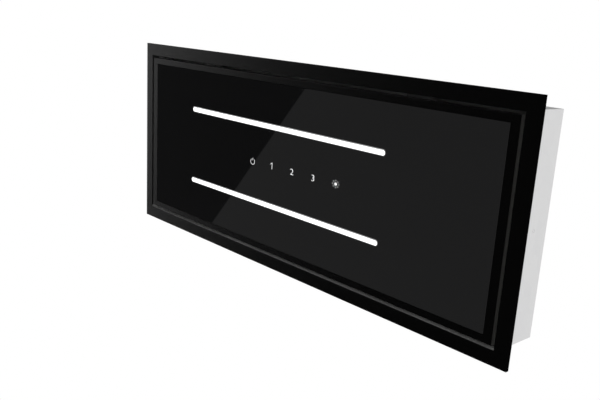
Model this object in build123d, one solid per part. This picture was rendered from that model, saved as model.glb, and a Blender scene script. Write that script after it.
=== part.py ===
from build123d import *
import math
import os

os.makedirs("parts", exist_ok=True)

# Flush ceiling range hood, in millimetres, as it hangs in the ceiling: +Z up, cooks below.
# Origin: centre of the trim frame, in the plane of the ceiling that the frame closes on.

# Trim frame and ceiling cut-out
frame_w = 900.0
frame_d = 350.0
face_drop = 6.0
frame_sheet = 1.0
frame_lip_rise = 30.0
fold_radius = 0.8

# Housing
housing_inset = 20.0
housing_sheet = 1.0
housing_top_z = 78.0
housing_hem = 15.0
seat_gap = 0.1

# Hinged glass panel
slot_w = 4.5
panel_sheet = 1.0
panel_wall_rise = 12.0
glass_inset_x = 41.0
glass_inset_y = 37.3
glass_t = 5.0
glass_recess = 0.2
glass_play = 0.2
glass_corner = 1.5
glass_bevel = 0.5
plate_t = 1.2

# Lamps behind the glass
lamp_x = -35.0
lamp_offset_y = 66.5
lamp_len = 492.0
lamp_w = 9.6
lens_play = 0.15
lens_lip = 2.5
channel_w = 20.0
channel_h = 10.0
channel_wall = 1.5
channel_foot = 8.0
channel_over = 8.0
channel_screw_in = 52.0
fin_count = 3
fin_pitch = 5.0
fin_groove_w = 1.2
fin_groove_depth = 0.7
fin_end = 10.0
board_t = 1.6
board_w = 11.0
chip_size = 4.0
chip_h = 0.8
chip_pitch = 20.0

# Touch control behind the glass
touch_x = 10.8
touch_y = -1.7
touch_len = 262.0
touch_w = 24.0
touch_play = 1.0
touch_cover_over = 8.0
touch_cover_h = 12.0
touch_cover_wall = 1.6
touch_cover_edge = 2.0
touch_ear = 12.0
touch_ear_w = 16.0
touch_ear_t = 2.0
touch_chip = 14.0
touch_chip_h = 1.8
touch_chip_x = -60.0
plug_x = 100.0
plug_w = 16.0
plug_d = 7.0
plug_h = 6.0
cable_slot_h = 5.0
cable_slot_rise = 3.0

# Panel hinges
hinge_x = 330.0
hinge_back = 25.0
hinge_rise = 14.0
hinge_pin_r = 3.0
hinge_eye_r = 5.5
hinge_play = 0.05
hinge_ear_t = 2.5
hinge_eye_w = 8.0
hinge_eye_room = 0.5
hinge_side_gap = 0.3
hinge_leaf_l = 30.0
hinge_leaf_t = 2.0
hinge_leaf_back = 14.0
hinge_leaf_wing = 11.0
hinge_leaf_screw_out = 6.0
hinge_leaf_screw_back = 4.0
hinge_arm_t = 7.5
hinge_foot_l = 36.0
hinge_foot_t = 2.0
hinge_foot_reach = 8.0
hinge_foot_screw_x = 12.0
hinge_foot_screw_y = 1.0
pin_head_r = 4.5
pin_head_t = 1.5
pin_tail = 2.0
pin_clip_t = 1.0

# Magnetic catches
catch_x = 250.0
catch_len = 42.0
catch_depth = 13.0
catch_h = 14.0
catch_gap = 0.3
catch_slot_end = 5.0
catch_slot_w = 1.5
catch_slot_depth = 1.0
strike_h = 6.5
strike_len = 34.0

# Filter deck and grease filters
deck_z = 40.0
deck_t = 1.0
deck_edge_rise = 12.0
deck_edge_foot = 8.0
filter_near_room = 21.0
filter_far_room = 51.0
filter_side_room = 31.0
filter_mid_gap = 24.0
filter_h = 8.8
filter_overlap = 8.0
filter_play = 0.3
filter_rim = 10.0
mesh_groove = 5.0
mesh_h = 6.0
rail_t = 1.0
rail_lip = 7.0
rail_over = 20.0
rail_flange = 12.0
rail_screw_end = 8.0
rail_under_latch = 2.5

# Filter latches
latch_w = 24.0
latch_t = 3.0
latch_len = 40.0
latch_travel = 5.0
latch_bite = 3.2
latch_play = 0.3
latch_tab_h = 9.0
latch_tab_in = 9.0
latch_edge = 1.8
latch_foot_t = 1.8
latch_base_w = 46.0
latch_base_len = 44.0
latch_base_t = 1.5
latch_guide_t = 1.5
latch_guide_in = 2.0

# Blower box on the housing
box_w = 330.0
box_set_in = 1.0
box_h = 160.0
box_sheet = 1.0
box_foot = 14.0
box_screw_x = 115.0
box_screw_y = 98.0
lid_skirt = 14.0
lid_screw_x = 106.0
lid_screw_len = 5.0
lid_rib_len = 230.0
lid_rib_w = 8.0
lid_rib_h = 1.5
lid_rib_pitch = 84.0
lid_notch_play = 1.0

# Blower
scroll_wall = 2.0
scroll_h = 156.0
scroll_play = 3.5
scroll_side_gap = 7.5
volute_step = 9.0
tongue_angle = 140.0
impeller_play = 12.0
impeller_h = 88.0
impeller_gap = 10.0
blade_count = 40
blade_depth = 15.0
blade_t = 1.0
blade_tilt = 35.0
blade_set_in = 0.6
blade_ends = 2.4
impeller_disc_t = 2.0
impeller_ring_h = 3.0
hub_r = 13.0
hub_h = 20.0
hub_vents = 6
hub_vent_r = 5.0
hub_vent_pitch_r = 36.0
shaft_r = 4.0
shaft_play = 0.05
throat_in = 19.0
throat_t = 1.5
throat_rise = 14.0
throat_flare = 13.0
throat_flange = 12.0
throat_screw_count = 6
inlet_hole_play = 0.5
motor_r = 47.0
motor_h = 48.0
motor_cap_r = 30.0
motor_cap_h = 3.0
motor_round = 4.0
motor_plug = 12.0
motor_plug_sink = 4.0
motor_plug_rise = 19.2
motor_plug_h = 14.4
wire_hole_r = 8.0
bracket_t = 2.0
bracket_ring = 14.0
bracket_arm_w = 22.0
bracket_reach = 74.0
bracket_screw_in = 6.0
bracket_turns = (0, 120, 240)
shaft_seat = 18.0
shaft_shoulder = 2.0
shoulder_gap = 0.3
nut_h = 5.0
shaft_end = 2.0
nut_across = 13.0

# Duct collar and backdraft flaps
duct_r = 74.75
collar_wall = 2.0
collar_len = 55.0
collar_plate = 158.0
collar_plate_t = 3.0
collar_edge = 16.0
collar_corner_r = 6.0
collar_screw_in = 7.0
rod_r = 2.0
rod_set_back = 12.0
rod_play = 0.05
rod_end_in = 0.4
flap_t = 1.2
flap_play = 0.6
flap_stop_w = 3.0
flap_stop_t = 1.5
flap_knuckle_r = 3.6
flap_knuckles = 6
flap_split = 0.6
flap_end = 4.0

# Control box, lamp driver and wiring
control_gap = 32.0
control_y = -20.0
control_w = 130.0
control_d = 92.0
control_h = 42.0
control_wall = 2.0
control_post_r = 5.0
control_post_set = 1.5
control_post_bore = 12.0
control_screw_x = 39.0
control_corner_r = 3.0
harness_r = 10.0
circuit_t = 1.6
circuit_rise = 8.0
circuit_edge = 2.0
circuit_leg_r = 2.5
coil = (8.0, 22.0, 26.0, 22.0, 20.0)
relays = ((-20.0, 26.0, 16.0, 12.0, 14.0), (-20.0, 8.0, 16.0, 12.0, 14.0))
terminals = (-14.0, -34.0, 40.0, 9.0, 11.0)
capacitor = (10.0, -22.0, 7.0, 22.0)
gland_r = 9.0
gland_len = 20.0
gland_thread_r = 5.4
gland_cap_r = 7.6
gland_collar_l = 6.0
gland_hex_l = 5.0
gland_lock_l = 5.0
gland_lock_gap = 0.05
gland_cap_round = 2.0
gland_thread_end = 1.0
cable_hole_r = 4.0
conduit_r = 6.5
conduit_wall = 1.0
conduit_nut_r = 11.0
conduit_nut_t = 6.0
conduit_end = 5.0
driver_gap = 38.0
driver_y = -75.0
driver_w = 118.0
driver_d = 42.0
driver_h = 26.0
driver_ear = 10.0
driver_ear_t = 3.0
driver_ear_d = 21.0
driver_edge = 2.0

# Hangers for threaded rods
hanger_in_x = 115.0
hanger_in_y = 15.0
hanger_w = 24.0
hanger_foot = 30.0
hanger_rise = 44.0
hanger_t = 2.0
hanger_hole_r = 4.5
hanger_screw_in = 5.0
hanger_screw_pitch = 16.0

# Screws and rivets
screw_r = 2.0
screw_head_r = 3.8
screw_head_h = 1.8
screw_tail = 4.0
screw_clear = 0.2
rivet_head_h = 1.0
rivet_in_x = 52.0
rivet_in_y = 57.0
lip_rivet_rise = 24.0
deck_rivet_rise = 7.0
hem_screw_gap = 18.0
cross_w = 1.0
side_reach = 8.0
same_place = 0.01


def block(x0, x1, y0, y1, z0, z1):
    """Rectangular solid between two opposite corners."""
    middle = Pos((x0 + x1) / 2, (y0 + y1) / 2, (z0 + z1) / 2)
    return middle * Box(abs(x1 - x0), abs(y1 - y0), abs(z1 - z0))


def slab(width, depth, z0, z1, x=0.0, y=0.0):
    """Rectangular solid centred on x, y."""
    return block(x - width / 2, x + width / 2, y - depth / 2, y + depth / 2, z0, z1)


def ring(width, depth, wall, z0, z1, x=0.0, y=0.0):
    """Rectangular wall that follows a width by depth outline inside."""
    inner = slab(width - 2 * wall, depth - 2 * wall, z0 - 1, z1 + 1, x, y)
    return slab(width, depth, z0, z1, x, y) - inner


def post(radius, z0, z1, x=0.0, y=0.0):
    """Upright cylinder."""
    return Pos(x, y, (z0 + z1) / 2) * Cylinder(radius, z1 - z0)


def rod_x(radius, x0, x1, y, z):
    """Cylinder that lies along X."""
    return Pos((x0 + x1) / 2, y, z) * Rot(0, 90, 0) * Cylinder(radius, abs(x1 - x0))


def rod_y(radius, y0, y1, x, z):
    """Cylinder that lies along Y."""
    return Pos(x, (y0 + y1) / 2, z) * Rot(90, 0, 0) * Cylinder(radius, abs(y1 - y0))


def obround(length, width, z0, z1, x=0.0, y=0.0):
    """Upright solid with straight sides and round ends."""
    outline = Pos(x, y, z0) * SlotOverall(length, width)
    return extrude(outline, z1 - z0)


def cut(shape, tools):
    """Shape with every tool taken away."""
    for tool in tools:
        shape = shape - tool
    return shape


def fuse(shapes):
    """One solid from shapes that touch or overlap."""
    whole = shapes[0]
    for shape in shapes[1:]:
        whole = whole + shape
    return whole


def screw_up(x, y, seat_z, grip, tail=screw_tail):
    """Pan head screw whose head seats on top of seat_z, shank down through grip and a tail."""
    head = post(screw_head_r, seat_z, seat_z + screw_head_h, x, y)
    head = fillet(head.edges().group_by(Axis.Z)[-1], screw_head_h / 2)
    cross_z = seat_z + screw_head_h / 2
    recess = slab(cross_w, screw_head_r, cross_z, seat_z + 2 * screw_head_h, x, y)
    cross = slab(screw_head_r, cross_w, cross_z, seat_z + 2 * screw_head_h, x, y)
    return head + post(screw_r, seat_z - grip - tail, seat_z, x, y) - recess - cross


def screw_down(x, y, seat_z, grip, tail=screw_tail):
    """Pan head screw whose head hangs below seat_z, shank up through grip and a tail."""
    return Pos(0, 0, 2 * seat_z) * mirror(screw_up(x, y, seat_z, grip, tail), about=Plane.XY)


def screw_hole(x, y, z0, z1):
    """Clearance hole for an upright screw."""
    return post(screw_r + screw_clear, z0 - 1, z1 + 1, x, y)


def edges_at(shape, z):
    """Edges that lie in the level plane at z."""
    return shape.edges().filter_by_position(Axis.Z, z - same_place, z + same_place)


def save(name, shape):
    """Write one node's file."""
    export_step(shape, f"parts/{name}.step")


# Outlines that nest inside one another, from the ceiling cut-out inwards
housing_w = frame_w - 2 * housing_inset
housing_d = frame_d - 2 * housing_inset
inner_w = housing_w - 2 * housing_sheet
inner_d = housing_d - 2 * housing_sheet
lip_w = inner_w - 2 * seat_gap
lip_d = inner_d - 2 * seat_gap
mouth_w = lip_w - 2 * frame_sheet
mouth_d = lip_d - 2 * frame_sheet
panel_w = mouth_w - 2 * slot_w
panel_d = mouth_d - 2 * slot_w
glass_w = frame_w - 2 * glass_inset_x
glass_d = frame_d - 2 * glass_inset_y
face_z = -face_drop
frame_lip_z = face_z + frame_lip_rise
glass_z = face_z + glass_recess
plate_z = glass_z + glass_t
plate_back_z = plate_z + plate_t
panel_wall_z = face_z + panel_wall_rise
roof_z = housing_top_z
roof_under_z = roof_z - housing_sheet

# Two filters side by side, with the hinges' room beyond their far edge
filter_w = inner_w / 2 - filter_side_room - filter_mid_gap / 2
filter_d = inner_d - filter_near_room - filter_far_room
filter_x = filter_mid_gap / 2 + filter_w / 2
filter_y = (filter_near_room - filter_far_room) / 2

# Blower box as deep as the roof lets it be, the scroll that fills it, and what nests in that
box_d = housing_d - 2 * (box_foot + box_set_in)
volute_r = box_d / 2 - box_sheet - scroll_play - scroll_wall - 3.5 * volute_step
scroll_reach = volute_r + 2.5 * volute_step + scroll_wall
blower_x = box_w / 2 - box_sheet - scroll_side_gap - scroll_reach
impeller_r = volute_r - impeller_play
throat_r = impeller_r - throat_in
throat_mouth_r = throat_r + throat_flare
throat_flange_r = throat_mouth_r + throat_flange
collar_y = box_d / 2 - collar_plate / 2 - collar_edge

# What stands beside the blower box, and the hangers at the roof's long edges
control_x = box_w / 2 + control_gap + control_w / 2
driver_x = -(box_w / 2 + driver_gap + driver_w / 2)
hanger_x = housing_w / 2 - hanger_in_x
hanger_y = housing_d / 2 - hanger_in_y
hanger_web_x = hanger_x - hanger_foot / 2
hem_screw_x = hanger_web_x - hanger_foot - hem_screw_gap

# Trim frame: flange under the ceiling, outer return to the ceiling, inner lip into the housing
rivet_z = face_z + lip_rivet_rise
rivet_x = housing_w / 2 - rivet_in_x
rivet_y = housing_d / 2 - rivet_in_y
rivet_long_x = [-rivet_x, -rivet_x / 3, rivet_x / 3, rivet_x]
rivet_short_y = [-rivet_y, rivet_y]


def frame_rivet_places():
    """Where the lip is riveted to the housing: centre, and the axis it lies along."""
    places = []
    for side in (-1, 1):
        for x in rivet_long_x:
            places.append(("y", side, x))
        for y in rivet_short_y:
            places.append(("x", side, y))
    return places


def side_hole(axis, side, along, z, half_w, half_d):
    """Clearance hole through a side wall at one rivet."""
    radius = screw_r + screw_clear
    if axis == "y":
        return rod_y(radius, side * (half_d - side_reach), side * (half_d + side_reach), along, z)
    return rod_x(radius, side * (half_w - side_reach), side * (half_w + side_reach), along, z)


def side_rivet(axis, side, along, z, half_w, half_d, grip):
    """Rivet with its head inside the wall at half_w or half_d and its tail outside."""
    if axis == "y":
        head = rod_y(screw_head_r, side * half_d, side * (half_d - rivet_head_h), along, z)
        return head + rod_y(screw_r, side * half_d, side * (half_d + grip), along, z)
    head = rod_x(screw_head_r, side * half_w, side * (half_w - rivet_head_h), along, z)
    return head + rod_x(screw_r, side * half_w, side * (half_w + grip), along, z)


def make_trim_frame():
    flange = slab(frame_w, frame_d, face_z, face_z + frame_sheet)
    outer_return = ring(frame_w, frame_d, frame_sheet, face_z, 0.0)
    inner_lip = slab(lip_w, lip_d, face_z, frame_lip_z)
    mouth = slab(mouth_w, mouth_d, face_z - 1, frame_lip_z + 1)
    frame = flange + outer_return + inner_lip - mouth
    front = edges_at(frame, face_z)
    frame = fillet(front, fold_radius)
    holes = [side_hole(*place, rivet_z, mouth_w / 2, mouth_d / 2) for place in frame_rivet_places()]
    return cut(frame, holes)


def make_frame_rivets():
    grip = frame_sheet + seat_gap + housing_sheet
    return [side_rivet(*p, rivet_z, mouth_w / 2, mouth_d / 2, grip) for p in frame_rivet_places()]


# Housing: folded wall with a hem under the roof, and the roof sheet
deck_outer_w = inner_w - 2 * seat_gap
deck_outer_d = inner_d - 2 * seat_gap
deck_rivet_z = deck_z + deck_rivet_rise


def deck_rivet_places():
    """Where the filter deck's edge angles are riveted to the housing."""
    places = []
    for side in (-1, 1):
        for x in rivet_long_x:
            places.append(("y", side, x))
        places.append(("x", side, 0.0))
    return places


def hem_screw_places():
    """Screws that hold the roof on the hem."""
    reach_x = housing_w / 2 - housing_hem / 2
    reach_y = housing_d / 2 - housing_hem / 2
    places = [(sx * reach_x, sy * reach_y) for sx in (-1, 1) for sy in (-1, 0, 1)]
    places += [(sx * hem_screw_x, sy * reach_y) for sx in (-1, 1) for sy in (-1, 1)]
    return places


def make_housing_walls():
    wall = ring(housing_w, housing_d, housing_sheet, face_z + frame_sheet, roof_under_z)
    hem = ring(housing_w, housing_d, housing_hem, roof_under_z - housing_sheet, roof_under_z)
    holes = [side_hole(*p, rivet_z, mouth_w / 2, mouth_d / 2) for p in frame_rivet_places()]
    holes += [side_hole(*p, deck_rivet_z, inner_w / 2, inner_d / 2) for p in deck_rivet_places()]
    places = hem_screw_places() + box_screws()
    holes += [screw_hole(x, y, roof_under_z - housing_sheet, roof_z) for x, y in places]
    return cut(wall + hem, holes)


# Places on the roof that several pieces share
inlet_hole_r = throat_mouth_r + inlet_hole_play
throat_screw_r = (throat_flange_r + inlet_hole_r) / 2


def throat_screws():
    """Screws of the inlet ring, on a circle round the blower axis."""
    places = []
    for n in range(throat_screw_count):
        angle = math.radians((n + 0.5) * 360 / throat_screw_count)
        places.append((blower_x + throat_screw_r * math.cos(angle), throat_screw_r * math.sin(angle)))
    return places


def box_screws():
    """Screws through the blower box's feet."""
    reach_x = box_w / 2 + box_foot / 2
    reach_y = box_d / 2 + box_foot / 2
    long_side = [(sx * box_screw_x, sy * reach_y) for sx in (-1, 1) for sy in (-1, 1)]
    short_side = [(sx * reach_x, sy * box_screw_y) for sx in (-1, 1) for sy in (-1, 1)]
    return long_side + short_side


def hanger_places():
    """Corner of each hanger, as the signs of x and y."""
    return [(-1, -1), (-1, 1), (1, -1), (1, 1)]


def hanger_screws():
    """Two screws through each hanger's foot."""
    middle = hanger_web_x - hanger_foot / 2
    y = hanger_y - hanger_w / 2 + hanger_screw_in
    return [
        (sx * (middle + dx * hanger_screw_pitch / 2), sy * y)
        for sx, sy in hanger_places()
        for dx in (-1, 1)
    ]


def driver_screws():
    """Screws through the lamp driver's ears."""
    reach = driver_w / 2 + driver_ear / 2
    return [(driver_x + sx * reach, driver_y) for sx in (-1, 1)]


def make_housing_top():
    roof = slab(housing_w, housing_d, roof_under_z, roof_z)
    roof = roof - post(inlet_hole_r, roof_under_z - 1, roof_z + 1, blower_x)
    roof = roof - post(harness_r, roof_under_z - 1, roof_z + 1, control_x, control_y)
    places = hem_screw_places() + throat_screws() + box_screws() + hanger_screws() + driver_screws()
    places += control_screws()
    return cut(roof, [screw_hole(x, y, roof_under_z, roof_z) for x, y in places])


# Filter deck: sheet with two filter openings, spot-welded to four edge angles
def make_filter_deck():
    top = deck_z + deck_t
    deck = slab(deck_outer_w, deck_outer_d, deck_z, top)
    open_w = filter_w - 2 * filter_overlap
    open_d = filter_d - 2 * filter_overlap
    for side in (-1, 1):
        deck = deck - slab(open_w, open_d, deck_z - 1, top + 1, side * filter_x, filter_y)
    holes = [screw_hole(x, y, deck_z, top) for x, y in hinge_foot_screws() + rail_screws()]
    return cut(deck, holes)


def make_deck_edges():
    """Angles on the deck's edges, whose upright legs are riveted to the housing."""
    low = deck_z + deck_t
    high = deck_z + deck_edge_rise
    half_w = deck_outer_w / 2
    half_d = deck_outer_d / 2
    short_end = half_d - deck_edge_foot - seat_gap
    holes = [side_hole(*p, deck_rivet_z, half_w, half_d) for p in deck_rivet_places()]
    angles = []
    for side in (-1, 1):
        out = side * half_d
        foot = block(-half_w, half_w, out - side * deck_edge_foot, out, low, low + deck_t)
        leg = block(-half_w, half_w, out - side * deck_t, out, low, high)
        angles.append(cut(foot + leg, holes))
        out = side * half_w
        foot = block(out - side * deck_edge_foot, out, -short_end, short_end, low, low + deck_t)
        leg = block(out - side * deck_t, out, -short_end, short_end, low, high)
        angles.append(cut(foot + leg, holes))
    return angles


def make_deck_rivets():
    half_w = deck_outer_w / 2 - deck_t
    half_d = deck_outer_d / 2 - deck_t
    grip = deck_t + seat_gap + housing_sheet
    return [side_rivet(*p, deck_rivet_z, half_w, half_d, grip) for p in deck_rivet_places()]


# Rails that carry the filters under the deck
filter_top_z = deck_z - filter_play
filter_under_z = filter_top_z - filter_h
filter_near_y = filter_y - filter_d / 2
filter_far_y = filter_y + filter_d / 2
rail_len = 2 * filter_x + filter_w + rail_over
latch_top_z = filter_under_z - latch_base_t
latch_under_z = latch_top_z - latch_play - latch_t


def rail_screws():
    """Screws that hold both rails to the deck."""
    near = filter_near_y - filter_play - rail_t - rail_flange / 2
    far = filter_far_y + filter_play + rail_t + rail_flange / 2
    end = rail_len / 2 - rail_screw_end
    return [(x, y) for x in (-end, 0.0, end) for y in (near, far)]


def make_rail_far():
    """Z section rail that the far edge of both filters hooks on."""
    y = filter_far_y + filter_play
    web = block(-rail_len / 2, rail_len / 2, y, y + rail_t, filter_under_z - filter_play - rail_t, deck_z)
    under = filter_under_z - filter_play
    hook = block(-rail_len / 2, rail_len / 2, y - rail_lip, y + rail_t, under - rail_t, under)
    flange = block(-rail_len / 2, rail_len / 2, y, y + rail_t + rail_flange, deck_z - rail_t, deck_z)
    rail = web + hook + flange
    return cut(rail, [screw_hole(x, sy, deck_z - rail_t, deck_z) for x, sy in rail_screws() if sy > 0])


def make_rail_near():
    """Angle rail with a window for each latch bolt."""
    y = filter_near_y - filter_play
    low = latch_under_z - rail_under_latch
    web = block(-rail_len / 2, rail_len / 2, y - rail_t, y, low, deck_z)
    flange = block(-rail_len / 2, rail_len / 2, y - rail_t - rail_flange, y, deck_z - rail_t, deck_z)
    rail = web + flange
    half = latch_w / 2 + latch_play
    for side in (-1, 1):
        x = side * filter_x
        window_low = latch_under_z - latch_play
        window = block(x - half, x + half, y - side_reach, y + side_reach, window_low, latch_top_z)
        rail = rail - window
    return cut(rail, [screw_hole(x, sy, deck_z - rail_t, deck_z) for x, sy in rail_screws() if sy < 0])


# Grease filters: folded aluminium rim, mesh pack and a sprung latch
latch_tip_y = filter_near_y - filter_play - rail_t - latch_bite + filter_play
latch_tail_y = latch_tip_y + latch_len
latch_base_y = filter_near_y + latch_base_len


def make_filter_frame(x):
    rim = ring(filter_w, filter_d, filter_rim, filter_under_z, filter_top_z, x, filter_y)
    groove_w = filter_w - 2 * (filter_rim - mesh_groove)
    groove_d = filter_d - 2 * (filter_rim - mesh_groove)
    groove_z = filter_under_z + (filter_h - mesh_h) / 2 - seat_gap
    groove = slab(groove_w, groove_d, groove_z, groove_z + mesh_h + 2 * seat_gap, x, filter_y)
    rim = rim - groove
    base = block(
        x - latch_base_w / 2,
        x + latch_base_w / 2,
        filter_near_y,
        latch_base_y,
        latch_top_z,
        filter_under_z,
    )
    rim = rim + base
    for side in (-1, 1):
        inner = x + side * (latch_w / 2 + latch_play)
        outer = inner + side * latch_guide_t
        wall_low = latch_under_z - latch_play - latch_guide_t
        guide_y = filter_near_y + latch_guide_in
        wall = block(inner, outer, guide_y, latch_base_y, wall_low, latch_top_z)
        ledge_in = inner - side * 2 * latch_guide_t
        ledge = block(
            ledge_in,
            outer,
            guide_y,
            latch_base_y,
            wall_low,
            wall_low + latch_guide_t,
        )
        rim = rim + wall + ledge
    stop = block(
        x - latch_w / 2,
        x + latch_w / 2,
        latch_tail_y + latch_travel + latch_play,
        latch_tail_y + latch_travel + latch_play + latch_guide_t,
        latch_under_z,
        latch_top_z,
    )
    return rim + stop


def make_filter_mesh(x):
    width = filter_w - 2 * (filter_rim - mesh_groove) - 2 * filter_play
    depth = filter_d - 2 * (filter_rim - mesh_groove) - 2 * filter_play
    z0 = filter_under_z + (filter_h - mesh_h) / 2
    return slab(width, depth, z0, z0 + mesh_h, x, filter_y)


def make_filter_latch(x):
    low = latch_under_z
    bolt = block(x - latch_w / 2, x + latch_w / 2, latch_tip_y, latch_tail_y, low, low + latch_t)
    tip = bolt.edges().filter_by(Axis.X).group_by(Axis.Y)[0].group_by(Axis.Z)[-1]
    bolt = chamfer(tip, latch_edge)
    tab_w = latch_w - 4 * latch_guide_t - 2 * latch_play
    tab_y = latch_tail_y - latch_tab_in
    tab = block(x - tab_w / 2, x + tab_w / 2, tab_y, tab_y + latch_t, low - latch_tab_h, low)
    foot = block(x - tab_w / 2, x + tab_w / 2, tab_y, latch_tail_y, low - latch_foot_t, low)
    return bolt + tab + foot


# Hinged panel: brushed rim, back plate and glass
plate_w = panel_w - 2 * panel_sheet - 2 * seat_gap
plate_d = panel_d - 2 * panel_sheet - 2 * seat_gap
hinge_y = panel_d / 2 - hinge_back
hinge_z = face_z + hinge_rise
leaf_half = hinge_eye_w / 2 + hinge_side_gap + hinge_ear_t
lamp_sides = (-1, 1)


def hinge_leaf_screws():
    """Screws of both hinge leaves into the back plate."""
    reach = leaf_half + hinge_leaf_screw_out
    return [
        (side * hinge_x + dx * reach, hinge_y - hinge_leaf_screw_back)
        for side in (-1, 1)
        for dx in (-1, 1)
    ]


def channel_screws():
    """Screws through the feet of both lamp channels."""
    reach_x = lamp_len / 2 - channel_screw_in
    reach_y = channel_w / 2 + channel_foot / 2
    places = []
    for side in lamp_sides:
        for dx in (-1, 1):
            for dy in (-1, 1):
                places.append((lamp_x + dx * reach_x, side * lamp_offset_y + dy * reach_y))
    return places


def touch_screws():
    """Screws at the ends of the touch cover."""
    reach = touch_len / 2 + touch_cover_over + touch_ear / 2
    return [(touch_x + side * reach, touch_y) for side in (-1, 1)]


def make_panel_rim():
    front = slab(panel_w, panel_d, face_z, face_z + panel_sheet)
    wall = ring(panel_w, panel_d, panel_sheet, face_z, panel_wall_z)
    open_w = glass_w + 2 * glass_play
    open_d = glass_d + 2 * glass_play
    return_wall = slab(open_w + 2 * panel_sheet, open_d + 2 * panel_sheet, face_z, plate_z)
    opening = slab(open_w, open_d, face_z - 1, plate_z + 1)
    rim = front + wall + return_wall - opening
    outer_edges = [edge for edge in edges_at(rim, face_z) if is_outline(edge, panel_w, panel_d)]
    return fillet(outer_edges, fold_radius)


def is_outline(edge, width, depth):
    """Whether an edge lies on a width by depth outline."""
    middle = edge.center()
    off_x = abs(abs(middle.X) - width / 2)
    off_y = abs(abs(middle.Y) - depth / 2)
    return min(off_x, off_y) < same_place


def make_panel_plate():
    plate = slab(plate_w, plate_d, plate_z, plate_back_z)
    for side in lamp_sides:
        over = 2 * (lens_lip + lens_play)
        y = side * lamp_offset_y
        plate = plate - obround(lamp_len + over, lamp_w + over, plate_z - 1, plate_back_z + 1, lamp_x, y)
    window_w = touch_len + 2 * touch_play
    window_d = touch_w + 2 * touch_play
    plate = plate - slab(window_w, window_d, plate_z - 1, plate_back_z + 1, touch_x, touch_y)
    places = hinge_leaf_screws() + channel_screws() + touch_screws()
    return cut(plate, [screw_hole(x, y, plate_z, plate_back_z) for x, y in places])


def make_glass():
    pane = slab(glass_w, glass_d, glass_z, plate_z)
    pane = fillet(pane.edges().filter_by(Axis.Z), glass_corner)
    pane = chamfer(edges_at(pane, glass_z), glass_bevel)
    for side in lamp_sides:
        over = 2 * lens_play
        y = side * lamp_offset_y
        pane = pane - obround(lamp_len + over, lamp_w + over, glass_z - 1, plate_z + 1, lamp_x, y)
    return pane


# Lamp strips: lens flush with the glass, circuit strip and aluminium channel behind it
def make_lens(y):
    lens = obround(lamp_len, lamp_w, glass_z, plate_z, lamp_x, y)
    over = 2 * lens_lip
    return lens + obround(lamp_len + over, lamp_w + over, plate_z, plate_back_z - seat_gap, lamp_x, y)


channel_len = lamp_len + 2 * channel_over
channel_roof_z = plate_back_z + channel_h
channel_inner_z = channel_roof_z - channel_wall
board_len = lamp_len - 2 * seat_gap


def make_channel(y):
    outer = slab(channel_len, channel_w, plate_back_z, channel_roof_z, lamp_x, y)
    feet_w = channel_w + 2 * channel_foot
    feet = slab(channel_len, feet_w, plate_back_z, plate_back_z + channel_wall, lamp_x, y)
    inside_len = channel_len - 2 * channel_wall
    inside_w = channel_w - 2 * channel_wall
    inside = slab(inside_len, inside_w, plate_back_z - 1, channel_inner_z, lamp_x, y)
    channel = outer + feet - inside
    fins = []
    for n in range(fin_count):
        fin_y = y + (n - (fin_count - 1) / 2) * fin_pitch
        low = channel_roof_z - fin_groove_depth
        fins.append(slab(channel_len - 2 * fin_end, fin_groove_w, low, channel_roof_z + 1, lamp_x, fin_y))
    holes = [screw_hole(x, hy, plate_back_z, plate_back_z + channel_wall) for x, hy in channel_screws()]
    return cut(channel, fins + holes)


def make_board(y):
    top = channel_inner_z - seat_gap
    board = slab(board_len, board_w, top - board_t, top, lamp_x, y)
    count = int((board_len - chip_pitch) / chip_pitch)
    first = lamp_x - (count - 1) * chip_pitch / 2
    low = top - board_t - chip_h
    chips = []
    for n in range(count):
        chips.append(slab(chip_size, chip_size, low, top - board_t, first + n * chip_pitch, y))
    return fuse([board] + chips)


# Touch control: circuit against the glass under a moulded cover
touch_cover_w = touch_w + 2 * touch_cover_over
touch_cover_len = touch_len + 2 * touch_cover_over
touch_top_z = plate_back_z + touch_cover_h


def make_touch_board():
    low = plate_z + seat_gap
    board = slab(touch_len, touch_w, low, low + board_t, touch_x, touch_y)
    top = low + board_t
    chip = slab(touch_chip, touch_chip, top, top + touch_chip_h, touch_x + touch_chip_x, touch_y)
    plug = slab(plug_w, plug_d, top, top + plug_h, touch_x + plug_x, touch_y)
    return board + chip + plug


def make_touch_cover():
    cover = slab(touch_cover_len, touch_cover_w, plate_back_z, touch_top_z, touch_x, touch_y)
    cover = chamfer(cover.edges().group_by(Axis.Z)[-1], touch_cover_edge)
    ear_top = plate_back_z + touch_ear_t
    ears = slab(touch_cover_len + 2 * touch_ear, touch_ear_w, plate_back_z, ear_top, touch_x, touch_y)
    inside_len = touch_cover_len - 2 * touch_cover_wall
    inside_w = touch_cover_w - 2 * touch_cover_wall
    roof_low_z = touch_top_z - touch_cover_wall
    inside = slab(inside_len, inside_w, plate_back_z - 1, roof_low_z, touch_x, touch_y)
    slot_z = plate_back_z + cable_slot_rise
    slot_y = touch_y + touch_cover_w / 2
    cable_slot = slab(plug_w, side_reach, slot_z, slot_z + cable_slot_h, touch_x + plug_x, slot_y)
    holes = [screw_hole(x, y, plate_back_z, ear_top) for x, y in touch_screws()]
    return cut(cover + ears, [inside, cable_slot] + holes)


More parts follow.
